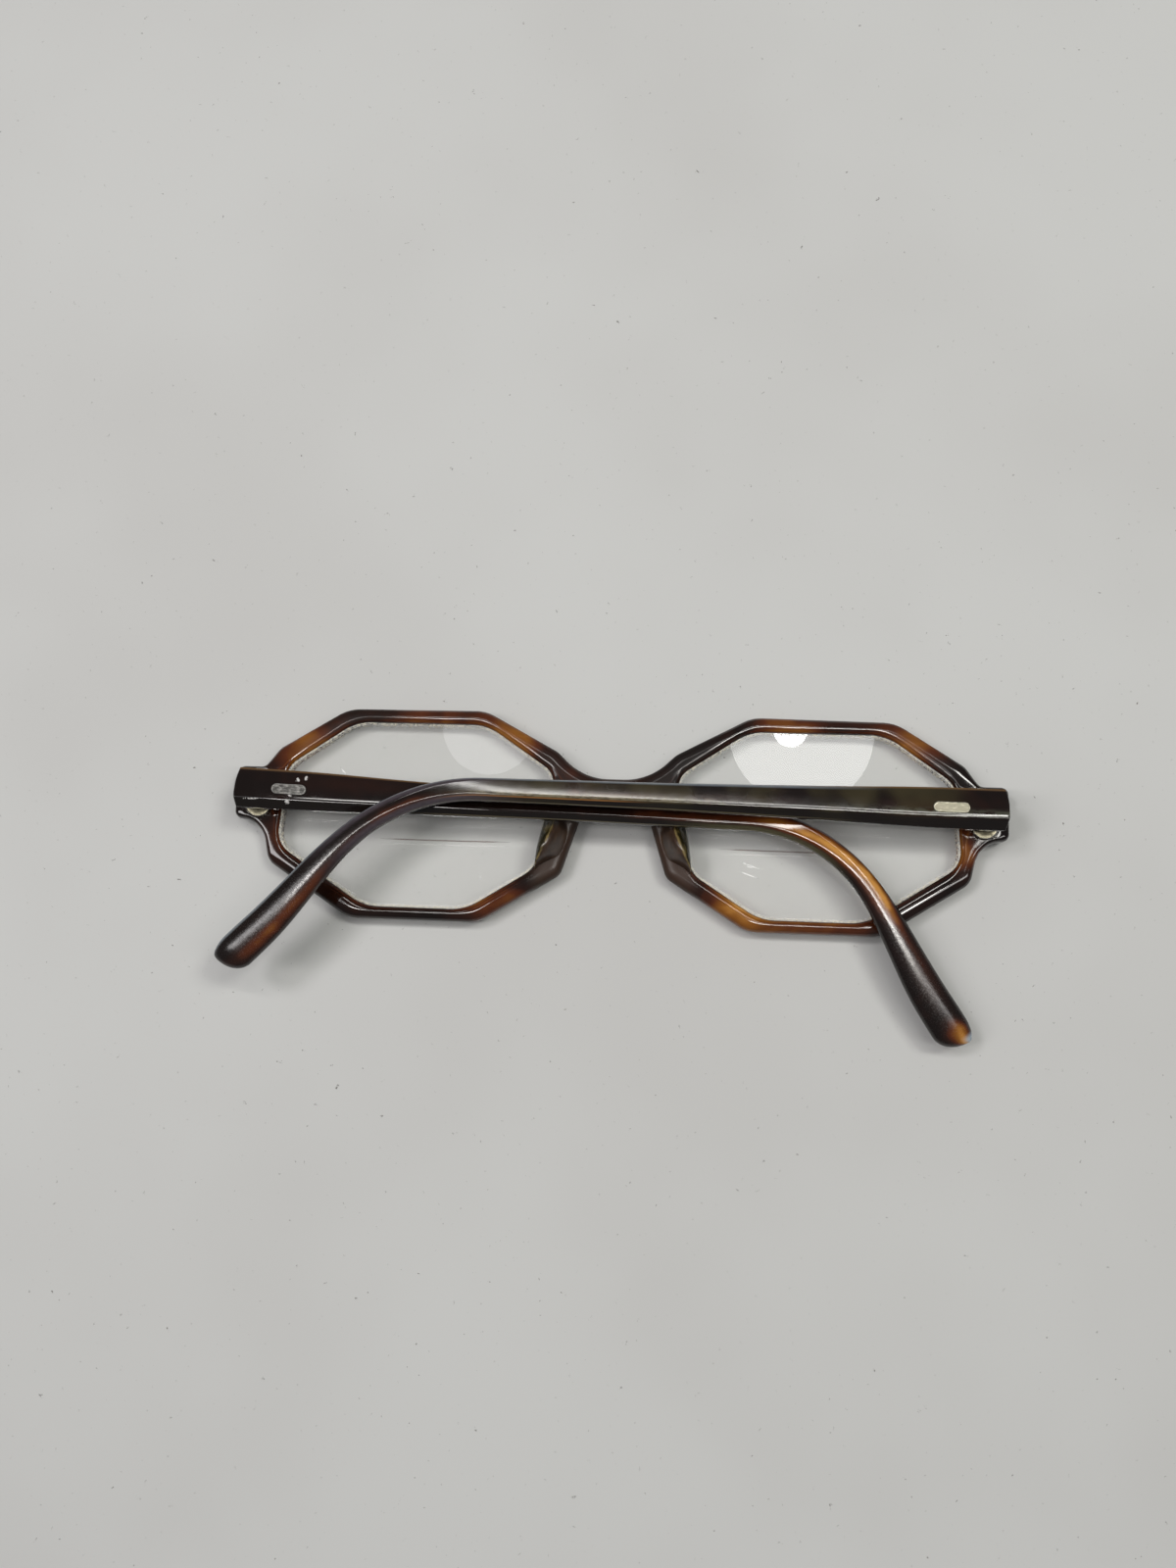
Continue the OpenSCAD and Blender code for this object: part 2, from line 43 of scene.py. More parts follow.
# in the part, in millimetres: datum is the y of the lenses' middles and hinge that of the pins; the round
# ends of a hinge plate have their middles plateHalf from it
place = {"datum": -4.9, "pinX": 60.8, "pinZ": 6.75, "hinge": -2.0, "plateHalf": 1.9, "frontT": 4.2}


def bothWays(kind):
    # a sum's two methods: the flow comes first in one and second in the other
    return (
        lambda flow, other: flow.sum(kind, flow, other),
        lambda flow, other: flow.sum(kind, other, flow),
    )


class Flow:
    # A socket that can be used in sums.

    def __init__(self, bench, socket):
        self.bench, self.socket = bench, socket

    def sum(self, operation, *terms):
        return self.bench.make("Math", {"operation": operation}, dict(enumerate(terms)))

    __add__, __radd__ = bothWays("ADD")
    __sub__, __rsub__ = bothWays("SUBTRACT")
    __mul__, __rmul__ = bothWays("MULTIPLY")

    def __pow__(self, other):
        return self.sum("POWER", self, other)

    def __abs__(self):
        return self.sum("ABSOLUTE", self)

    def low(self, other):
        return self.sum("MINIMUM", self, other)

    def high(self, other):
        return self.sum("MAXIMUM", self, other)

    def step(self, start, end):
        # 0 below start, 1 above end, smooth between; falling where end is lower
        span = {"Value": self, "From Min": start, "From Max": end}
        return self.bench.make("MapRange", {"interpolation_type": "SMOOTHSTEP"}, span)


class Bench:
    # The node tree of one material, made by its name, or of the world.

    def __init__(self, owner):
        self.material = bpy.data.materials.new(owner) if isinstance(owner, str) else owner
        self.material.use_nodes = True
        self.tree = self.material.node_tree
        self.tree.nodes.clear()

    def make(self, kind, settings=None, sockets=None, out=0):
        # a node with its settings, and numbers or flows in its sockets
        node = self.tree.nodes.new("ShaderNode" + kind)
        for key, value in (settings or {}).items():
            if key == "stops":
                ramp = node.color_ramp
                while len(ramp.elements) < len(value):
                    ramp.elements.new(0.5)
                for element, (at, colour) in zip(ramp.elements, value):
                    element.position = at
                    element.color = (*colour, 1)
            else:
                setattr(node, key, value)
        for key, value in (sockets or {}).items():
            if isinstance(value, Flow):
                self.tree.links.new(value.socket, node.inputs[key])
            else:
                node.inputs[key].default_value = value
        return Flow(self, node.outputs[out]) if len(node.outputs) else None

    def point(self):
        # The spot on the piece, in millimetres.
        return self.scaled(self.make("TexCoord", out="Object"), 1000)

    def painted(self, name):
        # a number kept on the piece's points
        return self.make("Attribute", {"attribute_name": name}, out="Fac")

    def axes(self, vector):
        # a vector's three parts
        split = self.make("SeparateXYZ", None, {0: vector})
        return [split] + [Flow(self, split.socket.node.outputs[i]) for i in (1, 2)]

    def vector(self, operation, a, b, out=0):
        return self.make("VectorMath", {"operation": operation}, {0: a, 1: b}, out)

    def scaled(self, vector, factor):
        return self.vector("MULTIPLY", vector, (factor, factor, factor))

    def distance(self, a, b):
        return self.vector("DISTANCE", a, b, "Value")

    def ray(self, kind):
        # 1 for rays of this kind
        return self.make("LightPath", out=f"Is {kind} Ray")

    def noise(self, at, scale, detail=3.0, rough=0.5, warp=0.0, squeeze=None):
        # squeeze: how many times finer along each axis
        at = self.vector("MULTIPLY", at, squeeze) if squeeze else at
        sockets = {"Vector": at, "Scale": scale, "Detail": detail, "Roughness": rough, "Distortion": warp}
        return self.make("TexNoise", None, sockets)

    def mix(self, amount, a, b):
        # a where amount is 0, b where it is 1
        a, b = [colour if isinstance(colour, Flow) else (*colour, 1) for colour in (a, b)]
        return self.make("Mix", {"data_type": "RGBA"}, {0: amount, 6: a, 7: b}, out=2)

    def layered(self, colour, look, **masks):
        # each named tone of look laid over the colour by its mask, in turn
        for name, mask in masks.items():
            colour = self.mix(mask, colour, look[name])
        return colour

    def bump(self, height, distance, strength):
        return self.make("Bump", None, {"Strength": strength, "Distance": distance, "Height": height})

    def surface(self, **sockets):
        sockets = {key.replace("_", " "): value for key, value in sockets.items()}
        return self.make("BsdfPrincipled", None, sockets)

    def finish(self, shader):
        self.make("OutputMaterial", None, {"Surface": shader})
        return self.material

    def coat(self, **sockets):
        # a material that is one surface
        return self.finish(self.surface(**sockets))


# tortoiseshell acetate, from the dark ground to the clearest amber
acetate = {
    "stops": [
        (0, (0.006, 0.0028, 0.002)), (0.22, (0.022, 0.0068, 0.0036)), (0.45, (0.082, 0.0195, 0.0055)),
        (0.75, (0.225, 0.082, 0.011)), (1, (0.5, 0.235, 0.05)),
    ],
    "roughness": 0.055, "ior": 1.49, "bumpHigh": 0.00002,
}

# patches laid into the sheet of the front: x, y, radius along x, radius along y, strength
frontPatches = [
    (-34, 12, 8, 5, 0.44), (-21, 11, 9, 6, 0.46), (-15.5, 8.2, 6, 5, 0.5), (-54, 6.5, 9, 7, 0.62),
    (-57, -8, 4, 8, 0.3), (-21, -20, 9, 5, 0.46), (-16.5, -18, 4, 4, 0.22), (-40, -19.5, 8, 4, 0.1),
    (-10.5, -9, 4, 7, 0.2), (28.3, 12.5, 9, 4, 0.54), (40, 12, 6, 4, 0.24), (49.5, 9.4, 8, 6, 0.64),
    (57.6, -8, 4, 6, 0.64), (24, -21, 12, 5, 0.46), (19.5, -18.5, 7, 5, 0.48), (37, -22, 11, 4, 0.5),
    (11.5, -9, 5, 7, 0.22), (48, -17, 9, 5, 0.1), (0, 0, 9, 5, 0.12), (-8, 3, 5, 5, 0.24),
]
# patches in the temples: millimetres from the square end, height across it, their radii, strength
templePatches = {
    "left": [
        (100, 0.1, 18, 0.95, 1.05), (112, 0.45, 10, 0.5, 0.5), (135.8, 0.1, 4.5, 0.9, 1.1),
        (78, -0.2, 18, 0.7, 0.34), (20, 0.5, 14, 0.7, 0.12), (124, 0.2, 8, 0.8, 0.2),
    ],
    "right": [
        (120, -0.6, 18, 0.55, 0.47), (131, -0.45, 8, 0.6, 0.3), (97, -0.3, 14, 0.5, 0.34),
        (60, -0.1, 28, 0.5, 0.3), (12, -0.2, 12, 0.8, 0.14),
    ],
}


def warped(bench, at, scale, reach):
    # the spot moved by a slow noise
    slow = {"Vector": at, "Scale": scale, "Detail": 2}
    wander = bench.make("TexNoise", None, slow, out="Color")
    drift = bench.vector("SUBTRACT", wander, (0.5, 0.5, 0.5))
    return bench.vector("ADD", at, bench.scaled(drift, reach))


def patchGlow(bench, at, patches):
    # each patch adds its strength, falling smoothly to nothing at its edge
    glow = 0
    for x, y, wide, high, strength in patches:
        squeezed = bench.vector("MULTIPLY", at, (1 / wide, 1 / high, 0))
        glow = bench.distance(squeezed, (x / wide, y / high, 0)).step(1.2, 0) * strength + glow
    return glow


def acetateColour(bench, glow, at, seed):
    # the glow, broken up by streaks and clouds, looked up in the acetate's colours
    cloud = bench.noise(bench.vector("ADD", at, (seed, seed * 2, 0)), 0.1, 3, 0.5, 0.5)
    streak = bench.noise(at, 0.8, 2, 0.5, 0.6, (0.16, 0.34, 0.34))
    depth = glow * (0.72 + streak * 0.55) + cloud.step(0.48, 0.8) * 0.2 + (streak - 0.5) * 0.1
    return bench.make("ValToRGB", {"stops": acetate["stops"]}, {0: depth.low(1)})


def polish(bench, at, worn):
    # roughness and height of handled acetate: smears, fine scratches along the piece, dust
    scratch = bench.noise(at, 1.6, 4, 0.7, 0, (0.2, 3.5, 3.5))
    smear = bench.noise(at, 0.3, 3, 0.6)
    speckle = bench.noise(at, 4.5, 3, 0.7)
    rough = acetate["roughness"] + smear.step(0.45, 0.75) * 0.035
    rough = rough + worn * (0.1 + speckle.step(0.42, 0.66) * 0.14)
    height = scratch * (worn * 0.28 + 0.03) + smear * (worn * 0.5 + 0.3) + speckle * worn * 0.8
    return rough, height


# on the front's acetate: satin at the pads' feet, painted shade in the seat under each hinge plate, bloom
# around it, and the upper bars whose gloss is taken back: from x, to x, how much
frontLook = {
    "satin": (0.052, 0.03, 0.0195), "seat": (0.012, 0.009, 0.004), "bloom": (0.36, 0.33, 0.22),
    "backZ": (3.7, 4),
    "matt": [(-54, -38, 0.85), (-21, -4, 0.65), (4, 17, 0.85), (45.5, 56, 0.8)],
}


def frontMaterial():
    # acetate with painted light glowing through it beside the openings, with a rough surface mixed in under
    # satin and matt bars
    bench = Bench("frontAcetate")
    at = bench.point()
    x, y, z = bench.axes(at)
    inward = bench.painted("inward")
    glow = patchGlow(bench, warped(bench, at, 0.14, 6), frontPatches)
    # painted light: a lighter amber glow where light shines through the thin acetate by the openings
    glow = glow + inward.step(0.72, 1) * inward.step(1.9, 1.2) * 0.16
    colour = acetateColour(bench, glow, at, 3)
    rough, height = polish(bench, at, 0.05)
    # distance from the line between the middles of a plate's round ends, on the back face
    past = (abs(y - place["hinge"]) - place["plateHalf"]).high(0)
    pin = bench.make("CombineXYZ", None, {0: abs(x) - place["pinX"], 1: past})
    reach = bench.distance(pin, (0, 0, 0))
    back = z.step(*frontLook["backZ"])
    # painted shade: the acetate in the recess round each hinge plate's lower end is darkened
    seat = reach.step(2.55, 2.15) * back
    bloom = reach.step(3.2, 2.2) * back * bench.noise(at, 2.6, 4, 0.7).step(0.55, 0.66)
    # the pads' feet run out into the rims between these heights
    satin = abs(x).step(15, 11.5) * y.step(-19.5, -16.5) * y.step(0.5, -3)
    colour = bench.layered(colour, frontLook, satin=satin * 0.6, seat=seat * 0.75, bloom=bloom * 0.5)
    rough = rough + bloom * 0.3 + seat * 0.2 + satin * 0.15
    gloss = bench.surface(
        Base_Color=colour, Roughness=rough, IOR=acetate["ior"],
        Normal=bench.bump(height - seat * 4, acetate["bumpHigh"], 0.5),
    )
    matt = bench.surface(Base_Color=colour, Roughness=0.6, Specular_IOR_Level=0.2)
    cover = satin * 0.85
    for start, end, amount in frontLook["matt"]:
        span = x.step(start - 1.5, start + 1.5) * x.step(end + 2.5, end - 2.5)
        cover = cover.high(span * y.step(-1, 1) * amount)
    return bench.finish(bench.make("MixShader", None, {0: cover, 1: gloss, 2: matt}))


# tones laid over the acetate of both temples and of each
templeLook = {
    # painted light: top is a highlight along the top edge, low is shade on the lower bevel, foot a pale line
    "top": (0.22, 0.125, 0.055), "low": (0.0075, 0.0055, 0.0045), "foot": (0.2, 0.17, 0.1),
    # sheen and glint are reflections painted in as tone
    "left": {
        "seed": 17, "sheen": (0.035, 0.062, 0.066), "glint": (0.42, 0.52, 0.6),
        "tail": (0.125, 0.115, 0.055), "bloom": (0.6, 0.59, 0.57),
    },
    "right": {
        # hingeEnd and middle are the painted sheen of the belt above the ridge
        "seed": 29, "olive": (0.052, 0.042, 0.018), "hingeEnd": (0.105, 0.112, 0.08),
        "middle": (0.235, 0.205, 0.125), "amber": (0.33, 0.15, 0.045), "sheen": (0.21, 0.245, 0.275),
        # tail here is the bend's purple-brown tone, partly a painted sheen
        "tail": (0.092, 0.076, 0.09), "crack": (0.003, 0.003, 0.003), "crackX": 54.35,
    },
}
# bloom on the left temple: round flecks by x, y and radius, and a row of small ones by its middle
flecks = {
    "round": [(-52.4, -0.55, 0.42), (-51.1, -0.2, 0.5), (-53.5, -3.2, 0.42), (-53.8, -4.3, 0.48)],
    "row": (-59.9, -3.95),
}


def bloomFlecks(bench, at):
    # distance from each middle, made ragged by noise; the row is a thin bar broken up by noise
    x, y, _ = bench.axes(at)
    flat = bench.vector("MULTIPLY", at, (1, 1, 0))
    ragged = bench.noise(at, 3.4, 3, 0.7) * 2.4 - 0.7
    bloom = 0
    for middleX, middleY, radius in flecks["round"]:
        reach = bench.distance(flat, (middleX, middleY, 0)) + ragged * radius
        bloom = reach.step(radius * 1.25, radius * 0.95) + bloom
    rowX, rowY = flecks["row"]
    row = abs(y - rowY).step(0.16, 0.05) * abs(x - rowX).step(1.4, 1.1)
    bloom = bloom + row * bench.noise(at, 3.4, 2).step(0.52, 0.56)
    return bloom.low(1)


def templeMaterial(side):
    # Acetate by painted measures: along, in millimetres from the square end, across, from -1 at the
    # lower edge to 1 at the top one, and outer, 1 on the outer face.
    look = templeLook[side]
    bench = Bench(side + "TempleAcetate")
    at = bench.point()
    along, across, outer = [bench.painted(name) for name in ("along", "across", "outer")]
    run = bench.make("CombineXYZ", None, {0: along, 1: across})
    drift = warped(bench, at, 0.12, 1)
    shift = bench.vector("MULTIPLY", bench.vector("SUBTRACT", drift, at), (9, 0.5, 0))
    glow = patchGlow(bench, bench.vector("ADD", run, shift), templePatches[side])
    colour = acetateColour(bench, glow, at, look["seed"])
    mottle = bench.noise(at, 1.2, 4, 0.65, 0, (0.5, 1.6, 1.6))
    if side == "right":
        olive = bench.noise(at, 0.09, 2).step(0.4, 0.6) * along.step(2, 14) * along.step(96, 76)
        # painted sheen: the paler belt above the ridge, greenish near the hinge and cream from the middle on
        sheenBelt = across.step(-0.52, -0.42) * across.step(0.05, -0.3) * outer
        hingeEnd = sheenBelt * along.step(32, 16) * mottle.step(0.38, 0.58)
        middle = sheenBelt * along.step(36, 62) * along.step(92, 80) * mottle.step(0.3, 0.6)
        colour = bench.layered(colour, look, olive=olive * 0.6, hingeEnd=hingeEnd * 0.55, middle=middle * 0.6)
    # painted light on the edges: a tan highlight on top, shade blackening the lower bevel, a pale foot line
    top = across.step(0.86, 0.97) * along.step(75, 55) * outer
    low = across.step(-0.5, -0.6) * along.step(92, 70)
    foot = abs(across + 0.93).step(0.05, 0) * along.step(20, 45) * along.step(108, 92) * outer
    colour = bench.layered(colour, templeLook, top=top * 0.5, low=low * 0.8, foot=foot * 0.5)
    rough, height = polish(bench, at, along.step(92, 122))
    if side == "right":
        amber = abs(across + 0.55).step(0.07, 0.02) * along.step(56, 66) * along.step(94, 86) * outer
        # painted reflection: a bluish-grey sheen along the top edge
        sheen = across.step(0.74, 0.93) * along.step(16, 40)
        # partly painted sheen: a slate-mauve tone over the bend and paddle
        tail = along.step(76, 90) * along.step(118, 106) * abs(across).step(0.25, 0.7)
        crack = abs(bench.axes(at)[0] - look["crackX"]).step(0.07, 0.02) * across.step(-0.3, -0.36) * outer
        colour = bench.layered(
            colour, look, amber=amber * 0.7, sheen=sheen * (mottle * 0.4 + 0.5),
            tail=tail * (mottle * 0.7 + 0.2), crack=crack * 0.8,
        )
        rough = rough + along.step(8, 34) * along.step(100, 84) * outer * 0.06
    else:
        # painted reflection: a dark blue-green sheen along the tail's top edge
        sheen = across.step(0.86, 0.98) * along.step(88, 96) * along.step(122, 108)
        # painted highlight: a pale blue glint at the tip
        glint = along.step(135.3, 136.6) * across.step(-0.2, 0.5)
        tail = along.step(70, 84) * along.step(106, 96) * across.step(-0.5, -0.8) * 0.8
        bloom = bloomFlecks(bench, at) * outer
        colour = bench.layered(
            colour, look, sheen=sheen * 0.5, glint=glint * 0.8,
            tail=tail * (mottle * 0.5 + 0.3), bloom=bloom * 0.85,
        )
        rough = rough + bloom * 0.5
    normal = bench.bump(height, acetate["bumpHigh"], 0.5)
    return bench.coat(Base_Color=colour, Roughness=rough, IOR=acetate["ior"], Normal=normal)


wornHigh = 0.00003   # the height of what wear leaves on pads and metal, in metres
# the pads' tones, from the dark to the light of the grain, and the painted highlight along their ridge
padLook = {
    "nose": ((0.03, 0.0165, 0.0105), (0.062, 0.034, 0.0195)),
    "lens": ((0.0105, 0.0085, 0.003), (0.062, 0.046, 0.0135)),
    "ridge": (0.23, 0.17, 0.07),
}


def padMaterial():
    # a grained tone on each side of the ridge, a painted highlight along it, satin towards the nose
    bench = Bench("padAcetate")
    at = bench.point()
    over = bench.painted("over")   # below 0 towards the nose, above 0 towards the lens
    grain = bench.noise(at, 0.9, 4, 0.6, 0.6, (1.2, 0.35, 1.2))
    nose = bench.mix(grain.step(0.35, 0.75), *padLook["nose"])
    lens = bench.mix(grain.step(0.4, 0.72), *padLook["lens"])
    colour = bench.mix(over.step(-0.04, 0.05), nose, lens)
    # painted highlight: a yellow-tan line along the ridge
    ridge = abs(over - 0.02).step(0.06, 0) * grain.step(0.3, 0.6)
    colour = bench.mix(ridge * 0.8, colour, padLook["ridge"])
    smear = bench.noise(at, 1.2)
    rough = 0.13 + smear * 0.14 + over.step(0.05, -0.1) * 0.14
    normal = bench.bump(smear, wornHigh, 0.5)
    return bench.coat(Base_Color=colour, Roughness=rough, IOR=acetate["ior"], Normal=normal)


# a lens's middle from the bridge's, and the reading segment's from the lens's
lensLook = {
    "eyeX": 33.7, "segmentIn": 4.9, "segmentLine": 4.1, "segmentLow": 8.5, "segmentR": 12.5,
    "tint": (0.985, 0.99, 0.985), "line": (0.11, 0.045, 0.03), "dust": (0.93, 0.93, 0.91),
    "crustAndEdgeLight": (0.62, 0.57, 0.42),
}
# fine scratches: two ends, in the part's x and y
scratches = {
    "left": [(-29, -8, -27.3, -7), (-47.5, 3, -46, 1.4), (-22.5, -14.6, -21.9, -15.6)],
    "right": [
        (21.2, -11.1, 24.8, -12.35), (21, -12.7, 24.4, -13.85), (32.3, -10.6, 36.4, -10.45),
        (32.3, -11.75, 36.4, -11.75), (33, -9.2, 36.1, -9.5), (21.8, -11.7, 23.6, -12.1),
    ],
}


def scratchMask(bench, at, x0, y0, x1, y1):
    # the spot in the stroke's own axes: how far past its ends and how far beside it
    long = float(np.hypot(x1 - x0, y1 - y0))
    turn = float(np.arctan2(y1 - y0, x1 - x0))
    stroke = {"Vector": at, "Location": ((x0 + x1) / 2, (y0 + y1) / 2, 0), "Rotation": (0, 0, turn)}
    along, beside, _ = bench.axes(bench.make("Mapping", {"vector_type": "TEXTURE"}, stroke))
    return abs(beside).step(0.13, 0.04) * abs(along).step(long / 2, long / 2 - 0.9)


def lensMaterial(side):
    # clear glass with the segment's line, and dust over it by the sum of what each kind of dirt covers,
    # with a painted bright line along the edge
    bench = Bench(side + "LensGlass")
    at = bench.point()
    x, y, z = bench.axes(at)
    up = y - place["datum"]
    middle = sides[side] * (lensLook["eyeX"] - lensLook["segmentIn"])
    ends = abs(x - middle).step(lensLook["segmentR"] - 1, lensLook["segmentR"] - 5)
    front = z.step(2.2, 1.9)
    level = up + lensLook["segmentLine"]
    line = abs(level).step(0.17, 0.06) * ends * front
    below = abs(level + 0.75).step(0.16, 0.03) * ends * front
    rimward = bench.painted("rimward")   # distance from the lens's outline
    grains = bench.noise(at, 2.2, 4, 0.7)
    # partly grainy dirt by the edge, partly a painted highlight where the glass's edge shines
    crustAndEdgeLight = rimward.step(0.62, 0.18) * grains.step(0.4, 0.6)
    away = bench.vector("ADD", at, (sides[side] * 40, 0, 0))   # so the two lenses differ
    film = bench.noise(away, 0.12, 4, 0.6, 1.5).step(0.56, 0.8)
    lint = bench.noise(at, 1.9, 5, 0.75, 1.5, (1, 2.2, 1)).step(0.745, 0.76)
    marks = 0
    for stroke in scratches[side]:
        marks = scratchMask(bench, at, *stroke) + marks
    marks = (marks * bench.noise(at, 3).step(0.3, 0.5)).low(1) * z.step(2.4, 3)
    tint = bench.mix(line * 0.95, lensLook["tint"], lensLook["line"])
    glass = bench.surface(Base_Color=tint, Roughness=0, IOR=1.5, Transmission_Weight=1)
    dust = bench.surface(Base_Color=bench.mix(crustAndEdgeLight, lensLook["dust"], lensLook["crustAndEdgeLight"]), Roughness=0.7)
    cover = (crustAndEdgeLight * 0.62 + marks * 0.8 + below * 0.22 + lint * 0.3 + film * 0.03 + 0.035).low(1)
    lens = bench.make("MixShader", None, {0: cover, 1: glass, 2: dust})
    # lamps and the light off the table pass straight through
    clear = bench.make("BsdfTransparent", None, {0: (0.99, 0.99, 0.985, 1)})
    through = bench.ray("Shadow").high(bench.ray("Diffuse"))
    return bench.finish(bench.make("MixShader", None, {0: through, 1: lens, 2: clear}))


def metalMaterial(name, colour, worn, rough, grain, dull=None):
    # a tone darkened in patches and lightened along the grain, with small pits; dull, where given, is painted
    # shade
    bench = Bench(name)
    at = bench.point()
    lines = bench.noise(at, 2.2, 4, 0.7, 0, grain)
    patches = bench.noise(at, 1.1, 4, 0.62, 0.8)
    dark = patches.step(0.5, 0.68)
    tone = bench.mix(dark * worn, colour, tuple(c * 0.32 for c in colour))
    tone = bench.mix((lines - 0.35).high(0) * 0.5, tone, tuple(min(1, c * 1.15) for c in colour))
    pits = bench.noise(at, 7, 3, 0.6).step(0.62, 0.72)
    if dull:
        # painted shade: the front plates' lower ends are darkened inside their round edge; only the edge
        # stays bright
        x, y, _ = bench.axes(at)
        beside, above = abs(x) - place["pinX"], y - (place["hinge"] - place["plateHalf"])
        reach = (beside ** 2 + above ** 2) ** 0.5 + (patches - 0.5) * 0.9
        tone = bench.mix(reach.step(1.95, 1.5) * 0.85, tone, dull)
    rough = rough + dark * 0.2 + lines * 0.12
    normal = bench.bump(lines - pits * 0.6, wornHigh, 0.6)
    return bench.coat(Base_Color=tone, Metallic=1, Roughness=rough, Normal=normal)


# each shield's bare metal, its tarnish and how much of it the tarnish takes
shieldLook = {
    "left": {"bare": (0.2, 0.197, 0.187), "dull": (0.045, 0.044, 0.041), "taken": 0.47, "rough": 0.55},
    "right": {"bare": (0.38, 0.365, 0.29), "dull": (0.19, 0.18, 0.135), "taken": 0.56, "rough": 0.46},
}


def shieldMaterial(side):
    # bare where a noise along the shield, clouds and the rounded edge add up to enough
    look = shieldLook[side]
    bench = Bench(side + "ShieldMetal")
    at = bench.point()
    rubbed = bench.noise(at, 1.5, 5, 0.72, 0.5, (0.7, 2.4, 2.4))
    clouds = bench.noise(at, 1.3, 3, 0.6)
    border = bench.painted("border")   # 1 on the shield's rounded edge
    wear = rubbed + clouds * 0.4 + border.step(0.55, 1) * 0.16
    bare = wear.step(look["taken"] + 0.14, look["taken"] + 0.42)
    tone = bench.mix(bare, look["dull"], look["bare"])
    rough = look["rough"] - bare * 0.12
    normal = bench.bump(rubbed + bare * 0.4, wornHigh, 0.6)
    return bench.coat(Base_Color=tone, Metallic=0.85, Roughness=rough, Normal=normal)


print("stage: materials")
frontAcetate = frontMaterial()
templeAcetate = {side: templeMaterial(side) for side in sides}
padAcetate = padMaterial()
lensGlass = {side: lensMaterial(side) for side in sides}
shieldMetal = {side: shieldMaterial(side) for side in sides}
metals = {
    "temple_hinge_": metalMaterial("hingeMetal", (0.135, 0.122, 0.083), 0.85, 0.34, (3, 0.4, 3)),
    # plateMetal's last tone is painted shade inside the plates' round ends
    "front_hinge_": metalMaterial(
        "plateMetal", (0.24, 0.222, 0.16), 0.75, 0.34, (3, 0.4, 3), (0.03, 0.027, 0.018)
    ),
    "hinge_screw_": metalMaterial("screwMetal", (0.6, 0.6, 0.57), 0.4, 0.35, (3, 3, 3)),
    "temple_core_": metalMaterial("coreMetal", (0.58, 0.58, 0.56), 0.3, 0.4, (0.3, 4, 4)),
}


def unitRows(v):
    # each row divided by its length
    return v / np.linalg.norm(v, axis=-1, keepdims=True)


def roundedOutline(corners, steps=14):
    # Corners (x, y, radius), counter-clockwise. Each is swapped for an arc that meets both of its
    # edges at radius times tan(half the turn), turned about a centre one radius to the side.
    c = np.array(corners, float)
    p = unitRows(c[:, :2] - np.roll(c[:, :2], 1, 0))
    q = np.roll(p, -1, 0)
    side = np.sign(p[:, 0] * q[:, 1] - p[:, 1] * q[:, 0])
    turn = np.arccos(np.clip((p * q).sum(1), -1, 1))
    start = c[:, :2] - p * (c[:, 2] * np.tan(turn / 2))[:, None]
    centre = start + np.stack([-p[:, 1], p[:, 0]], 1) * (side * c[:, 2])[:, None]
    angle = (side * turn)[:, None] * np.linspace(0, 1, steps)
    arm = (start - centre)[:, None, :]
    x = arm[..., 0] * np.cos(angle) - arm[..., 1] * np.sin(angle)
    y = arm[..., 0] * np.sin(angle) + arm[..., 1] * np.cos(angle)
    return (centre[:, None, :] + np.stack([x, y], -1)).reshape(-1, 2)


def eased(count):
    # numbers from 0 to 1, closer together towards both ends: (1 - cos) / 2
    return (1 - np.cos(np.linspace(0, np.pi, count))) / 2


def evenly(line, spacing):
    # Points at equal distances along a line.
    gone = np.r_[0, np.cumsum(np.linalg.norm(np.diff(line, axis=0), axis=1))]
    at = np.linspace(0, gone[-1], int(gone[-1] / spacing) + 2)
    return np.stack([np.interp(at, gone, line[:, 0]), np.interp(at, gone, line[:, 1])], 1)


def evenlyRound(line, spacing):
    # the same on a closed line, without its first point twice
    return evenly(np.vstack([line, line[:1]]), spacing)[:-1]


def outward(line, before, after):
    # Step that moves each point of a counter-clockwise line out by one, along its corner's bisector.
    whole = np.vstack([before, line, after])
    d = unitRows(np.diff(whole, axis=0))
    n = np.stack([d[:, 1], -d[:, 0]], 1)
    a, b = n[:-1], n[1:]
    return (a + b) / (1 + (a * b).sum(1, keepdims=True))


def gridFaces(rows, columns, closed, start=0):
    # Four-sided faces between neighbouring rows of points.
    last = columns if closed else columns - 1
    i, j = np.meshgrid(np.arange(rows - 1), np.arange(last), indexing="ij")
    k = (j + 1) % columns
    quads = np.stack([i * columns + j, i * columns + k, (i + 1) * columns + k, (i + 1) * columns + j], -1)
    return quads.reshape(-1, 4) + start


def putIn(thing):
    bpy.context.scene.collection.objects.link(thing)


def strip(first, second):
    # Four-sided faces between two closed rings of point numbers.
    return np.stack([first, np.roll(first, -1), np.roll(second, -1), second], 1)


def addMesh(name, points, faces, material, body, weld=0.0, sharp=38, **painted):
    # Points in millimetres and faces become one piece that rides on a body.
    mesh = bpy.data.meshes.new(name)
    mesh.from_pydata((np.asarray(points) * mm).tolist(), [], [[int(v) for v in f] for f in faces])
    piece = bpy.data.objects.new(name, mesh)
    putIn(piece)
    mesh.materials.append(material)
    for key, values in painted.items():
        layer = mesh.attributes.new(key, "FLOAT", "POINT")
        layer.data.foreach_set("value", np.asarray(values, np.float32).ravel())
    work = bmesh.new()
    work.from_mesh(mesh)
    if weld:
        bmesh.ops.remove_doubles(work, verts=work.verts, dist=weld * mm)
        bmesh.ops.dissolve_degenerate(work, edges=work.edges, dist=1e-7)
    bmesh.ops.recalc_face_normals(work, faces=work.faces)
    work.to_mesh(mesh)
    work.free()
    mesh.polygons.foreach_set("use_smooth", np.ones(len(mesh.polygons), bool))
    mesh.set_sharp_from_angle(angle=np.radians(sharp))
    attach(piece, body)
    print("piece:", name, len(mesh.polygons), "faces")
    return piece


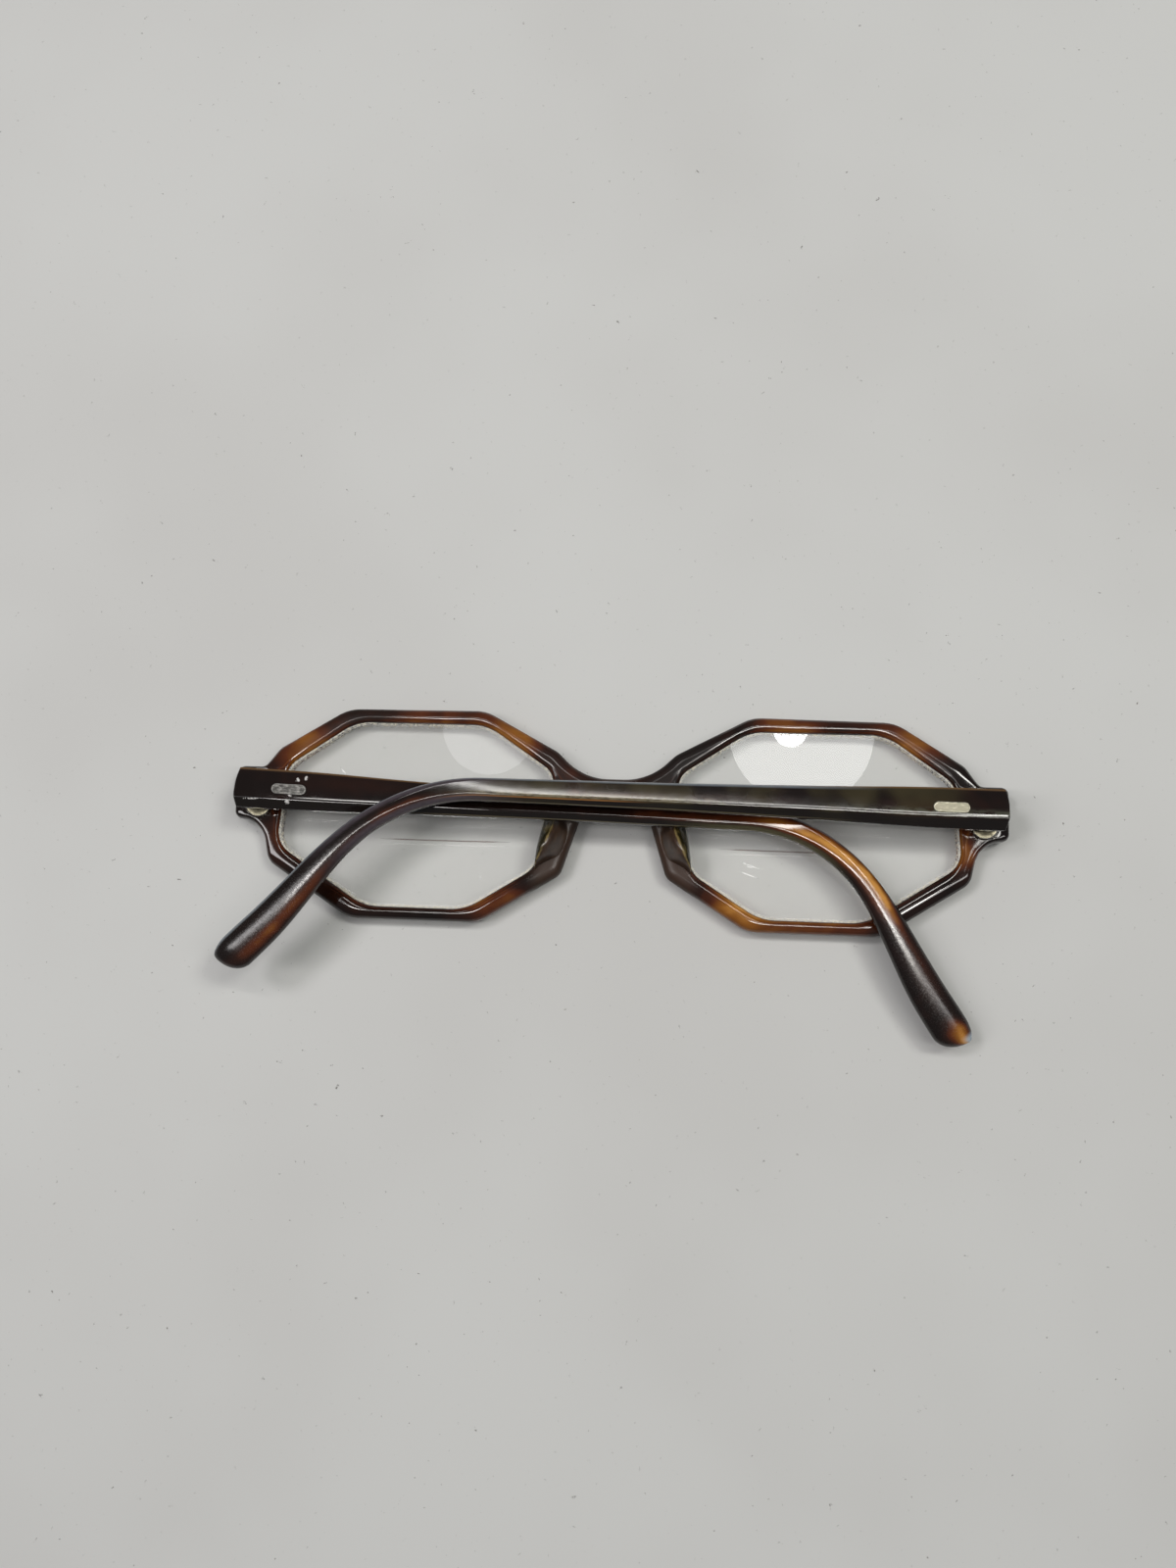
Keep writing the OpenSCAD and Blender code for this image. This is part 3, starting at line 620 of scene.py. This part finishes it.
# an opening: its size, how far its corners stand in from its box, and the heights of those at the sides
eye = {
    "gap": 20.6, "w": 46.8, "h": 31.4, "topNose": 12, "topSide": 12.2, "lowNose": 14.2, "lowSide": 15.4,
    "sideTop": 7.6, "noseIn": 2.6, "noseEnd": -8.42, "sideIn": 0.9, "sideEnd": -5.76,
}
rim = {
    "edgeW": 1.35, "edgeH": 1.5, "crown": 0.1, "arch": 0.085, "round": 3.2, "top": 2.6, "low": 2.1,
    "side": 1.8, "lip": 0.75, "lipH": 0.9, "join": 0.2, "groove": [1.76, 2.31, 2.86], "grooveIn": 0.55,
}
bridge = {"saddle": 7.1, "arch": 2.7, "archW": 5.1, "archR": 4.2, "noseW": 8.9, "noseLow": 9.3}
endpiece = {
    "x": 65, "top": 7.55, "low": -1.45, "r": 1.3, "edgeW": 0.62,
    "narrows": (58.2, 61), "flattens": (57.5, 60.5),
}

eyeX0 = eye["gap"] / 2
eyeX1 = eyeX0 + eye["w"]
eyeTop = eye["h"] / 2
# corners: x, y and the radius that rounds them, counter-clockwise
eyeCorners = [
    (eyeX0, eye["sideTop"], 3.15),
    (eyeX0 + eye["noseIn"], eye["noseEnd"], 4.5),
    (eyeX0 + eye["lowNose"], -eyeTop, 9),
    (eyeX1 - eye["lowSide"], -eyeTop, 9),
    (eyeX1, eye["sideEnd"], 4.5),
    (eyeX1 - eye["sideIn"], eye["sideTop"], 4.5),
    (eyeX1 - eye["topSide"], eyeTop, 9),
    (eyeX0 + eye["topNose"], eyeTop, 9),
]
rimTop, rimLow, rimSide, rimRound = rim["top"], rim["low"], rim["side"], rim["round"]
halfCorners = [
    (bridge["archW"], bridge["arch"], bridge["archR"]),
    (bridge["noseW"], -bridge["noseLow"], rimRound * 0.8),
    (eyeX0 + eye["lowNose"] - rimLow, -eyeTop - rimLow, rimRound * 1.9),
    (eyeX1 - eye["lowSide"] + rimLow * 1.25, -eyeTop - rimLow, rimRound * 1.9),
    (eyeX1 + rimSide * 0.9, -7.2 - rimSide * 0.8, rimRound),
    (eyeX1 + rimSide * 1.7, endpiece["low"] - rimSide * 0.3, rimRound * 1.4),
    (endpiece["x"], endpiece["low"], endpiece["r"]),
    (endpiece["x"], endpiece["top"], endpiece["r"]),
    (eyeX1 + rimSide * 1.8, endpiece["top"], endpiece["r"]),
    (eyeX1 + rimSide * 0.5, eye["sideTop"] + rimSide * 1.8, rimRound),
    (eyeX1 - eye["topSide"] + rimTop * 0.6, eyeTop + rimTop * 0.9, rimRound * 2.3),
    (eyeX0 + eye["topNose"] + rimTop * 0.15, eyeTop + rimTop, rimRound * 2.1),
    (eyeX0 - rimTop * 0.1, eye["sideTop"] + rimTop * 1.5, rimRound * 1.5),
    (bridge["saddle"] * 0.78, bridge["saddle"], rimRound * 3.2),
]


def ramp(value, start, end):
    # 0 at start, 1 at end, smooth between
    t = np.clip((value - start) / (end - start), 0, 1)
    return t * t * (3 - 2 * t)


def frontPiece():
    # The outline of one half is carried through rows. Each moves it out along its corners' bisectors by a
    # growth: an ellipse on each face, -w(1 - sin a) at the height c + (h - c)(1 - cos a), with c the
    # crown's fall, cut short where it meets the face. From there the face runs in straight lines to the
    # opening, found by rays from a hub inside it, and rises between the two by the least of c and its
    # arch times its width, times 4f(1 - f). Both halves are then joined.
    t = place["frontT"] - 0.03   # a little thinner than the solid
    mirrored = [(-x, y, r) for x, y, r in halfCorners[::-1]]
    whole = roundedOutline(halfCorners + mirrored)
    half = whole[: len(whole) // 2]
    line = evenly(np.vstack([[0, bridge["arch"]], half, [0, bridge["saddle"]]]), 0.3)
    out = outward(line, [[-1, bridge["arch"]]], [[-1, bridge["saddle"]]])
    wide = rim["edgeW"] + (endpiece["edgeW"] - rim["edgeW"]) * ramp(line[:, 0], *endpiece["narrows"])
    crown = rim["crown"] * (1 - 0.75 * ramp(line[:, 0], *endpiece["flattens"]))
    a = np.linspace(rim["join"], np.pi / 2, 10)[:, None]
    growth = -wide * (1 - np.sin(a))
    height = crown + (rim["edgeH"] - crown) * (1 - np.cos(a))
    growth, height = np.vstack([growth, growth[::-1]]), np.vstack([height, t - height[::-1]])
    outer = np.concatenate([line[None] + growth[..., None] * out[None], height[..., None]], -1)
    rows, count = outer.shape[:2]
    # the middle line, from the saddle down to the arch, on both faces
    drop = np.linspace(1, 0, 10)[1:-1]
    ends = outer[[0, -1]][:, [0, -1]]
    middle = ends[:, :1] + (ends[:, 1:] - ends[:, :1]) * drop[None, :, None]
    lift = np.sin(np.pi * drop) * rim["crown"]
    middle[0, :, 2] -= lift
    middle[1, :, 2] += lift
    ring = np.concatenate([outer[[0, -1]], middle], 1)
    hub = np.array([eyeX0 + eye["w"] / 2 - 4, (bridge["saddle"] + bridge["arch"]) / 2])
    polar = evenlyRound(roundedOutline(eyeCorners), 0.1) - hub
    phi = np.arctan2(polar[:, 1], polar[:, 0])
    seen = np.concatenate([line, middle[0, :, :2]]) - hub
    rays = np.arctan2(seen[:, 1], seen[:, 0])
    reach = np.interp(rays, phi, np.linalg.norm(polar, axis=1), period=2 * np.pi)
    inner = hub + reach[:, None] * np.stack([np.cos(rays), np.sin(rays)], 1)
    push = outward(inner, inner[-1:], inner[:1])
    crowned = np.r_[crown, np.full(len(drop), rim["crown"])]
    b = np.linspace(rim["join"] * 1.2, np.pi / 2, 7)
    lip = rim["lip"] * (1 - np.sin(b))
    wallG = np.r_[lip, 0, rim["grooveIn"], 0, lip[::-1]]
    low = crowned + (rim["lipH"] - crowned) * (1 - np.cos(b))[:, None]
    flat = np.broadcast_to(np.array(rim["groove"])[:, None], (3, len(inner)))
    wallZ = np.vstack([low, flat, t - low[::-1]])
    wall = np.concatenate([inner[None] + wallG[:, None, None] * push[None], wallZ[..., None]], -1)
    # five rows across each face
    f = np.linspace(0, 1, 7)[1:-1, None]
    across = ring[:, None] + (wall[[0, -1]] - ring)[:, None] * f[None, :, :, None]
    width = np.linalg.norm((wall[[0, -1]] - ring)[0, :, :2], axis=1)
    bulge = np.minimum(crowned, rim["arch"] * width) * 4 * f * (1 - f)
    bulge[:, -len(drop):] = 0
    across[0, :, :, 2] -= bulge
    across[1, :, :, 2] += bulge
    n, m = ring.shape[1], len(wallZ)
    layers = [outer, ring, across[0], across[1], wall]
    points = np.vstack([layer.reshape(-1, 3) for layer in layers])
    starts = np.cumsum([0] + [layer.size // 3 for layer in layers])
    # painted: under 0 round the outer edge, 0 to 1 across each face, and 1 to 2 and back down the wall,
    # whose last row says 3, which ends the painted glow of light through the acetate
    roundIn = np.linspace(-0.5, 0, 10)
    wallIn = 2 - np.abs(np.linspace(-1, 1, m))
    wallIn[-1] = 3
    inward = np.concatenate([
        np.repeat(np.r_[roundIn, roundIn[::-1]], count), np.zeros(2 * n),
        np.repeat(f, n), np.repeat(f, n), np.repeat(wallIn, n),
    ])
    k = np.arange(n)
    faces = [gridFaces(rows, count, False), gridFaces(m, n, True, starts[4])]
    for face, wallRow in ((0, 0), (1, m - 1)):
        chain = [starts[1] + face * n] + [starts[2 + face] + i * n for i in range(5)]
        chain.append(starts[4] + wallRow * n)
        faces += [strip(one + k, two + k) for one, two in zip(chain, chain[1:])]
    faces = np.vstack(faces)
    points[:, 1] += place["datum"]
    everyPoint = np.vstack([points, points * [-1, 1, 1]])
    return addMesh(
        "front", everyPoint, np.vstack([faces, faces + len(points)]), frontAcetate, "front", 0.002, 50,
        inward=np.r_[inward, inward],
    )


pad = {
    "top": 0.6, "length": 9.3, "rise": 3.6, "overhang": 0.42, "in": 0.75, "sunk": 0.12, "deep": 0.5,
    "rows": 80, "columns": 41,
}


def padPiece(side):
    # Down the pad, t runs from 0 to 1. Its nose foot keeps to the arch's edge and its lens foot to the
    # opening's, both closing to the corner. The ridge moves from the middle to the lens side, and the
    # section is two arcs that meet there: sin to the power 1.5 on the nose side, cos to 0.55 beyond.
    t, k = eased(pad["rows"]), eased(pad["columns"])
    y = pad["top"] - pad["length"] * t
    lean = (bridge["noseW"] - bridge["archW"]) / (bridge["arch"] + bridge["noseLow"])
    lowLean = (eyeX0 + eye["lowNose"] - rimLow - bridge["noseW"]) / (eyeTop + rimLow - bridge["noseLow"])
    archSide = bridge["archW"] + (bridge["arch"] - y) * lean
    lowSide = bridge["noseW"] - (y + bridge["noseLow"]) * lowLean
    x0 = np.maximum(archSide, lowSide) + pad["in"]
    x1 = eyeX0 + eye["noseIn"] * (eye["sideTop"] - y) / (eye["sideTop"] - eye["noseEnd"])
    x1 = x1 + pad["overhang"] * np.sin(np.pi * t ** 1.1)
    ends = np.sin(np.pi * t) ** 0.32
    x0 = x0 + (x1 - x0) * ramp(t, 0.72, 1) * 0.85
    x0 = x1 - (x1 - x0) * ends
    crest = 0.46 + 0.42 * t ** 1.3
    high = pad["rise"] * np.sin(np.pi * np.clip(0.1 + 0.9 * t, 0, 1) ** 1.35) ** 0.75 * ends ** 0.5 + 0.02
    kk = np.broadcast_to(k, (pad["rows"], pad["columns"]))
    c = crest[:, None]
    past = np.clip((kk - c) / (1 - c), 0, 1)
    nose = np.sin(np.pi / 2 * np.clip(kk / c, 0, 1)) ** 1.5
    lift = np.where(kk < c, nose, np.cos(np.pi / 2 * past) ** 0.55)
    bulge = np.sin(np.pi * past) * 0.22
    x = x0[:, None] + (x1 - x0)[:, None] * kk + bulge * high[:, None] / pad["rise"]
    yy = np.broadcast_to(y[:, None], x.shape)
    top = np.stack([x, yy, place["frontT"] - pad["sunk"] + high[:, None] * lift], -1)
    foot = np.full(x.shape, place["frontT"] - pad["deep"])
    under = np.stack([x0[:, None] + (x1 - x0)[:, None] * k, yy, foot], -1)
    points = np.concatenate([top, under[:, ::-1]], 1)
    points[[0, -1]] = points[[0, -1]].mean(1, keepdims=True)
    over = np.concatenate([kk - c, (kk - c)[:, ::-1]], 1)
    points = points.reshape(-1, 3) * [sides[side], 1, 1] + [0, place["datum"], 0]
    faces = gridFaces(pad["rows"], 2 * pad["columns"], True)
    piece = addMesh("nosePad" + side.capitalize(), points, faces, padAcetate, "front", 0.0005, 62, over=over)
    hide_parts("nose_pad_" + side)


lens = {
    "clear": 0.2, "t": 2.1, "frontR": 160, "backR": 150, "segR": 95, "segW": 25, "ridge": 0.47, "gap": 0.04,
    "ridgeZ": (1.78, 2.31, 2.84), "proud": 0.9,
}


def lensPiece(side):
    # Rows from the bottom edge to the top one are stretched between the opening's two sides. Both faces
    # are spheres, and the front has the segment's steeper one below its line.
    outline = evenlyRound(roundedOutline(eyeCorners), 0.05)
    low, high = -eyeTop + lens["gap"], eyeTop - lens["gap"]
    y = low + (high - low) * eased(70)
    cut = -lensLook["segmentLine"]
    y = np.sort(np.r_[y[np.abs(y - cut) > 0.06], cut - 0.015, cut + 0.015])
    cx = eyeX0 + eye["w"] / 2
    upwards = outline[np.argsort(outline[:, 1])]
    far, near = upwards[upwards[:, 0] > cx], upwards[upwards[:, 0] <= cx]
    x1 = np.interp(y, far[:, 1], far[:, 0]) - lens["gap"]
    x0 = np.interp(y, near[:, 1], near[:, 0]) + lens["gap"]
    x = x0[:, None] + (x1 - x0)[:, None] * eased(90)
    yy = np.broadcast_to(y[:, None], x.shape)
    away = (x - cx) ** 2 + yy ** 2
    r, clear = lens["frontR"], lens["clear"]
    front = clear + r - np.sqrt(r ** 2 - away)
    back = clear + lens["t"] + lens["backR"] - np.sqrt(lens["backR"] ** 2 - away)
    # the segment's centre lies on the line from the front's centre through the segment's middle
    segIn, segLow = lensLook["segmentIn"], lensLook["segmentLow"]
    aim = np.array([-segIn, -segLow, -np.sqrt(r ** 2 - segIn ** 2 - segLow ** 2)]) / r
    depths = [np.sqrt(radius ** 2 - lens["segW"] ** 2 / 4) for radius in (r, lens["segR"])]
    hub = np.array([cx, 0, clear + r]) + aim * (depths[0] - depths[1])
    inside = np.clip(lens["segR"] ** 2 - (x - hub[0]) ** 2 - (yy - hub[1]) ** 2, 0, None)
    segment = hub[2] - np.sqrt(inside)
    front = np.where(yy < cut, np.minimum(front, segment), front)
    back = np.minimum(back, place["frontT"] + lens["proud"])
    sheet = np.stack([np.stack([x, yy, z], -1) for z in (front, back)])
    rows, columns = x.shape
    # once round the grid: the rows and the columns of its outline
    up, on = np.arange(rows), np.arange(columns)
    i = np.r_[0 * on, up[1:], 0 * on[1:] + rows - 1, up[-2:0:-1]]
    j = np.r_[on, 0 * up[1:] + columns - 1, on[-2::-1], 0 * up[-2:0:-1]]
    loop = sheet[0][i, j]
    push = outward(loop[:, :2], loop[-1:, :2], loop[:1, :2])
    push = np.where(np.linalg.norm(push, axis=1, keepdims=True) > 1.6, unitRows(push), push)
    levels = zip((0, lens["ridge"], 0), lens["ridgeZ"])
    edge = np.stack([np.c_[loop[:, :2] + out * push, np.full(len(loop), z)] for out, z in levels])
    edge[0, :, 2] = np.maximum(edge[0, :, 2], loop[:, 2])
    points = np.vstack([sheet.reshape(-1, 3), edge.reshape(-1, 3)])
    half, m = rows * columns, len(loop)
    ids, k, start = i * columns + j, np.arange(m), 2 * half
    faces = np.vstack([
        gridFaces(rows, columns, False), gridFaces(rows, columns, False, half)[:, ::-1],
        strip(ids, start + k), gridFaces(3, m, True, start), strip(start + 2 * m + k, half + ids),
    ])
    gap = np.linalg.norm(points[:, None, :2] - outline[None, ::8], axis=-1).min(1)
    gap[2 * half:] = 0
    points = points * [sides[side], 1, 1] + [0, place["datum"], 0]
    piece = addMesh("lens" + side.capitalize(), points, faces, lensGlass[side], "front", 0.0, 25, rimward=gap)
    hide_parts("lens_" + side)


temple = {
    "length": 137, "butt": 2.25, "inner": 0.9, "t": 3.1, "bendStart": 84.5, "tailIn": 2.0, "belly": 1.4,
    "lift": 1.6, "tipRound": 3.72, "relief": 1.42, "bevel": 0.62, "endBow": 0.45, "endEdge": 0.3,
    "ridgeAt": {"left": -0.57, "right": -0.46}, "ridgeSoft": 0.14, "ridgeOff": 0.035, "facetEnd": (78, 108),
    "dish": {"left": (0.118, 0.03, 0.3), "right": (0.09, 0.015, 0.0)}, "around": 112,
}
bend = {"left": (26, 54, 1.7, -1.5), "right": (31, 45, -0.35, 1.6)}   # radius, angle, droop, fold
# heights, thicknesses and the superellipse's power by millimetres from the square end
heightTable = [
    (0, 6.6), (13, 6.53), (28, 5.54), (55, 4.42), (84.5, 3.89), (98.8, 3.6),
    (106.5, 3.71), (115, 4.68), (128, 6.2), (137, 6.2),
]
thickTable = [(0, 3.1), (28, 3.0), (84.5, 2.9), (106.5, 2.9), (128, 3.5), (137, 3.5)]
squareTable = [(0, 0.36), (30, 0.42), (84.5, 0.7), (110, 0.88), (137, 0.95)]


def curveOf(table, s, soft=5.0):
    # straight lines between the table's points, averaged over a short stretch past the square end
    at, value = np.array(table, float).T
    spread = np.linspace(-soft, soft, 21)
    near = np.clip((s[:, None] - 1.0) / soft, 0, 1) * spread
    return np.interp(s[:, None] + near, at, value).mean(1)


def templePath(s, side):
    # straight, round the bend on one radius, straight on: x, y, the angle and the share of the tail
    radius, angle, _, _ = bend[side]
    total = np.radians(angle)
    a = np.clip((s - temple["bendStart"]) / radius, 0, total)
    end = temple["bendStart"] + radius * total
    rest = np.clip(s - end, 0, None)
    x = np.minimum(s, temple["bendStart"]) + radius * np.sin(a) + rest * np.cos(a)
    y = -radius * (1 - np.cos(a)) - rest * np.sin(a)
    along = rest / (temple["length"] - end)
    return x, y, a, along


def atHinge(points, side):
    # a folded temple's own points, turned by its droop and its fold and moved to the pin
    _, _, droop, fold = bend[side]
    d, f = np.radians(droop), np.radians(fold)
    x = points[..., 0] * np.cos(d) - points[..., 1] * np.sin(d)
    y = points[..., 0] * np.sin(d) + points[..., 1] * np.cos(d)
    z = points[..., 2]
    x, z = x * np.cos(f) + z * np.sin(f), -x * np.sin(f) + z * np.cos(f)
    out = np.stack([x + place["pinX"], y + place["hinge"], z + place["pinZ"]], -1)
    return out * [sides[side], 1, 1]


def templePiece(side):
    # Stations s along the wire's line carry a superellipse of half height h and half thickness t. The
    # paddle sags by a smooth step, its tip closes as an ellipse that leans up, and bows inwards as s^2.
    # The outer face is cut back from a ridge line: by a slope and a square above it, by a bevel below.
    # Round the pin the inner face is pushed out to a cylinder.
    length, tip, edge = temple["length"], temple["tipRound"], temple["endEdge"]
    s = np.unique(np.r_[
        edge * (1 - np.cos(np.linspace(0, np.pi / 2, 8))), np.linspace(0.4, 6, 44),
        np.arange(6.5, length - tip, 0.6), length - tip * (1 - np.sin(np.linspace(0, np.pi / 2, 28))),
    ])
    closing = np.sqrt(np.clip(1 - np.clip(1 - (length - s) / tip, 0, 1) ** 2, 0.0001, 1))
    drawnIn = edge * (1 - np.sqrt(1 - np.clip(1 - s / edge, 0, 1) ** 2))
    h = curveOf(heightTable, s) * closing / 2 - drawnIn
    t = curveOf(thickTable, s) * closing / 2 - drawnIn
    e = np.interp(s, *np.array(squareTable, float).T)
    x, y, a, along = templePath(s, side)
    sag = -temple["belly"] * ramp(along * 1.4, 0, 1) + temple["lift"] * (1 - closing)
    bow = -temple["tailIn"] * along ** 2
    q = 2 * np.pi * (np.arange(temple["around"]) + 0.5) / temple["around"]
    c, w = np.cos(q), np.sin(q)
    across = np.sign(c) * np.abs(c) ** e[:, None]
    v = h[:, None] * across
    w = t[:, None] * np.sign(w) * np.abs(w) ** e[:, None]
    # the faceted outer face, fading out along the bend
    d = v - temple["ridgeAt"][side] * h[:, None]
    slope, dish, ease = temple["dish"][side]
    facet = 1 - ramp(s, *temple["facetEnd"])
    fall = np.where(d > 0, slope * d + dish * d ** 2 / (1 + ease * np.abs(d)), -temple["bevel"] * d)
    soft = np.exp(-(d / temple["ridgeSoft"]) ** 2) * temple["ridgeOff"]
    roof = t[:, None] - (fall + soft) * facet[:, None]
    w = np.where(w > 0, np.minimum(w, np.maximum(roof, 0.15 * t[:, None])), w)
    w = w + (temple["inner"] + temple["t"] / 2 + bow)[:, None]
    # the square end bows out a little at its middle
    bowed = temple["endBow"] * across ** 2 * np.exp(-s / 1.5)[:, None]
    v = v + sag[:, None]
    px = temple["butt"] - x[:, None] - v * np.sin(a)[:, None] - bowed
    py = y[:, None] + v * np.cos(a)[:, None]
    hollow = np.sqrt(np.clip(temple["relief"] ** 2 - px ** 2, 0, None))
    w = np.where(np.abs(px) < temple["relief"], np.maximum(w, hollow), w)
    points = atHinge(np.stack([px, py, w], -1), side)
    rows, columns = px.shape
    # the square end is ruled from face to face, the tip closes on one point
    total = rows * columns
    last = np.arange(total - columns, total)
    fan = np.stack([np.full(columns, total), last, np.roll(last, -1)], 1)
    i = np.arange(columns // 2 - 1)
    square = np.stack([i, i + 1, columns - 2 - i, columns - 1 - i], 1)
    faces = gridFaces(rows, columns, True).tolist() + square.tolist() + fan.tolist()
    everyPoint = np.vstack([points.reshape(-1, 3), points[-1].mean(0)])
    outer = np.broadcast_to((np.sin(q) > 0) * 1.0, px.shape)
    piece = addMesh(
        "temple" + side.capitalize(), everyPoint, faces, templeAcetate[side], side + "_temple", 0.0, 50,
        along=np.r_[np.repeat(s, columns), length], across=np.r_[across.ravel(), 0],
        outer=np.r_[outer.ravel(), 0],
    )
    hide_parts("temple_" + side)


shield = {"at": 7.0, "length": 5.8, "width": 1.75, "proud": 0.04, "edge": 0.14, "deep": 0.4}


def shieldPiece(side):
    # A stadium outline on rows that draw in along a quarter circle to a face just proud of the temple.
    r = shield["width"] / 2
    straight = shield["length"] / 2 - r
    q = np.linspace(-np.pi / 2, np.pi / 2, 24)
    right = np.stack([straight + r * np.cos(q), r * np.sin(q)], 1)
    line = evenlyRound(np.vstack([right, -right]), 0.12)
    out = outward(line, line[-1:], line[:1])
    b = np.linspace(0, np.pi / 2, 7)
    grow = np.r_[0, -shield["edge"] * (1 - np.cos(b)), -shield["edge"] - 0.08, -r * 0.62]
    top = temple["inner"] + temple["t"] + shield["proud"]
    level = np.r_[top - shield["deep"], top - shield["edge"] * (1 - np.sin(b)), top, top]
    ring = line[None] + grow[:, None, None] * out[None]
    local = np.concatenate([ring, np.broadcast_to(level[:, None, None], (*ring.shape[:2], 1))], -1)
    local[..., 0] -= shield["at"]
    rows, columns = local.shape[:2]
    points = atHinge(local, side).reshape(-1, 3)
    caps = [list(range(columns))[::-1], list(range((rows - 1) * columns, rows * columns))]
    faces = gridFaces(rows, columns, True).tolist() + caps
    border = np.repeat(np.r_[1, np.ones(7), 0.6, 0], columns)
    name, body = "shield" + side.capitalize(), side + "_temple"
    piece = addMesh(name, points, faces, shieldMetal[side], body, 0.0, 40, border=border)
    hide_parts("temple_shield_" + side)


print("stage: pieces")
front = frontPiece()
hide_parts("frame_front")
for side in sides:
    padPiece(side)
    lensPiece(side)
    templePiece(side)
    shieldPiece(side)
    for stem, material in metals.items():
        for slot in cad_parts[stem + side].material_slots:
            slot.material = material

print("stage: floor, lamps and camera")


def floorPiece():
    # a table in two slow tones with specks of dust on it, just under the part
    bench = Bench("paleTable")
    at = bench.point()
    cloud = bench.noise(at, 0.012)
    speck = bench.noise(at, 0.9, 5, 0.75, 0.4).step(0.672, 0.686)
    tone = bench.mix(cloud.step(0.35, 0.7), (0.565, 0.57, 0.555), (0.53, 0.53, 0.515))
    tone = bench.mix(speck * 0.85, tone, (0.1, 0.09, 0.08))
    # far off, where the lamps' light has gone, the camera sees it as pale as the room
    away = bench.distance(bench.vector("MULTIPLY", at, (1, 1, 0)), (0, 0, 0))
    far = away.step(150, 1100) * bench.ray("Camera")
    glow = bench.mix(far, (0, 0, 0), (0.39, 0.395, 0.4))
    material = bench.coat(
        Base_Color=tone, Roughness=0.75, Specular_IOR_Level=0.15, Emission_Color=glow, Emission_Strength=1
    )
    mesh = bpy.data.meshes.new("table")
    mesh.from_pydata([(-4, -4, 0), (4, -4, 0), (4, 4, 0), (-4, 4, 0)], [], [(0, 1, 2, 3)])
    mesh.materials.append(material)
    piece = bpy.data.objects.new("table", mesh)
    piece.location.z = -0.00002
    putIn(piece)


floorPiece()

lampAim = Vector((0, -0.005, 0))


def lamp(name, at, size, power, colour, mirrored=True, lights=True, turn=0):
    # a disk where both sizes are equal, else a rectangle, facing the aim and turned about that line
    data = bpy.data.lights.new(name, "AREA")
    data.shape = "DISK" if size[0] == size[1] else "RECTANGLE"
    data.size, data.size_y = size
    data.energy = power
    data.color = colour
    thing = bpy.data.objects.new(name, data)
    thing.location = at
    thing.visible_transmission = False
    thing.visible_glossy = mirrored
    thing.visible_diffuse = lights
    facing = (lampAim - Vector(at)).to_track_quat("-Z", "Y")
    thing.rotation_euler = (facing @ Quaternion((0, 0, 1), np.radians(turn))).to_euler()
    putIn(thing)


# Two lamps above the top corners cast the shadows and aren't mirrored. The polish mirrors a bar, side
# strips and pale discs, and two bars beside the rims that light nothing else.
lamp("leftLamp", (-0.385, 0.19, 0.7), (0.17, 0.17), 1.45, (1, 0.965, 1), mirrored=False)
lamp("rightLamp", (0.385, 0.19, 0.7), (0.17, 0.17), 1.25, (0.985, 1, 0.95), mirrored=False)
lamp("barLamp", (0.04, 0.236, 0.7), (0.56, 0.03), 1.15, (1, 0.985, 0.95))
lamp("rightRimBar", (0.165, -0.055, 0.7), (0.2, 0.05), 1.5, (1, 0.97, 0.92), lights=False, turn=-73)
lamp("leftRimBar", (-0.17, -0.055, 0.7), (0.16, 0.05), 1.1, (1, 0.97, 0.94), lights=False, turn=73)
lamp("leftStrip", (-0.47, -0.05, 0.66), (0.13, 0.36), 1.5, (1, 0.97, 0.97))
lamp("rightBend", (0.298, 0.137, 0.7), (0.18, 0.032), 0.38, (1, 0.98, 0.93), turn=-42)
lamp("rightStrip", (0.4, -0.09, 0.68), (0.27, 0.07), 0.55, (1, 0.97, 0.95), turn=-76)
lamp("leftDisc", (-0.243, 0, 0.7), (0.09, 0.09), 0.045, (0.97, 0.985, 1))
lamp("rightDisc", (0.138, 0, 0.7), (0.12, 0.12), 0.19, (1, 1, 0.99))
lamp("rightSpark", (0.146, -0.001, 0.695), (0.028, 0.028), 0.045, (1, 1, 1))

room = {"light": 0.12, "seen": 0.42, "mirrored": 0.17}   # how bright the room is to each kind of ray


def roomWorld():
    # dim as a light, paler where the camera or a lens looks straight at it
    world = bpy.data.worlds.new("room")
    bpy.context.scene.world = world
    bench = Bench(world)
    seen = bench.ray("Camera").high(bench.ray("Transmission"))
    strength = room["light"] + (room["mirrored"] - room["light"]) * bench.ray("Glossy")
    strength = strength + (room["seen"] - strength) * seen
    bench.make(
        "OutputWorld", None,
        {"Surface": bench.make("Background", None, {0: (0.95, 0.97, 1, 1), 1: strength})},
    )


roomWorld()

# the camera: place in millimetres, focal length and picture height in pixels, turn by rows
view = {
    "at": (7.764, -28.223, 199.683), "focal": 1202, "tall": 1600, "sensor": 36,
    "turn": [(0.99762, -0.0291, 0.06258), (0.0381, 0.98828, -0.14781), (-0.05755, 0.14985, 0.98703)],
}
data = bpy.data.cameras.new("camera")
data.sensor_width = view["sensor"]
data.lens = view["focal"] * view["sensor"] / view["tall"]
data.clip_start = 0.01
camera = bpy.data.objects.new("camera", data)
rows = [(*row, at * mm) for row, at in zip(view["turn"], view["at"])]
camera.matrix_world = Matrix(rows + [(0, 0, 0, 1)])
putIn(camera)
bpy.context.scene.camera = camera
bpy.context.scene.view_settings.view_transform = "Standard"
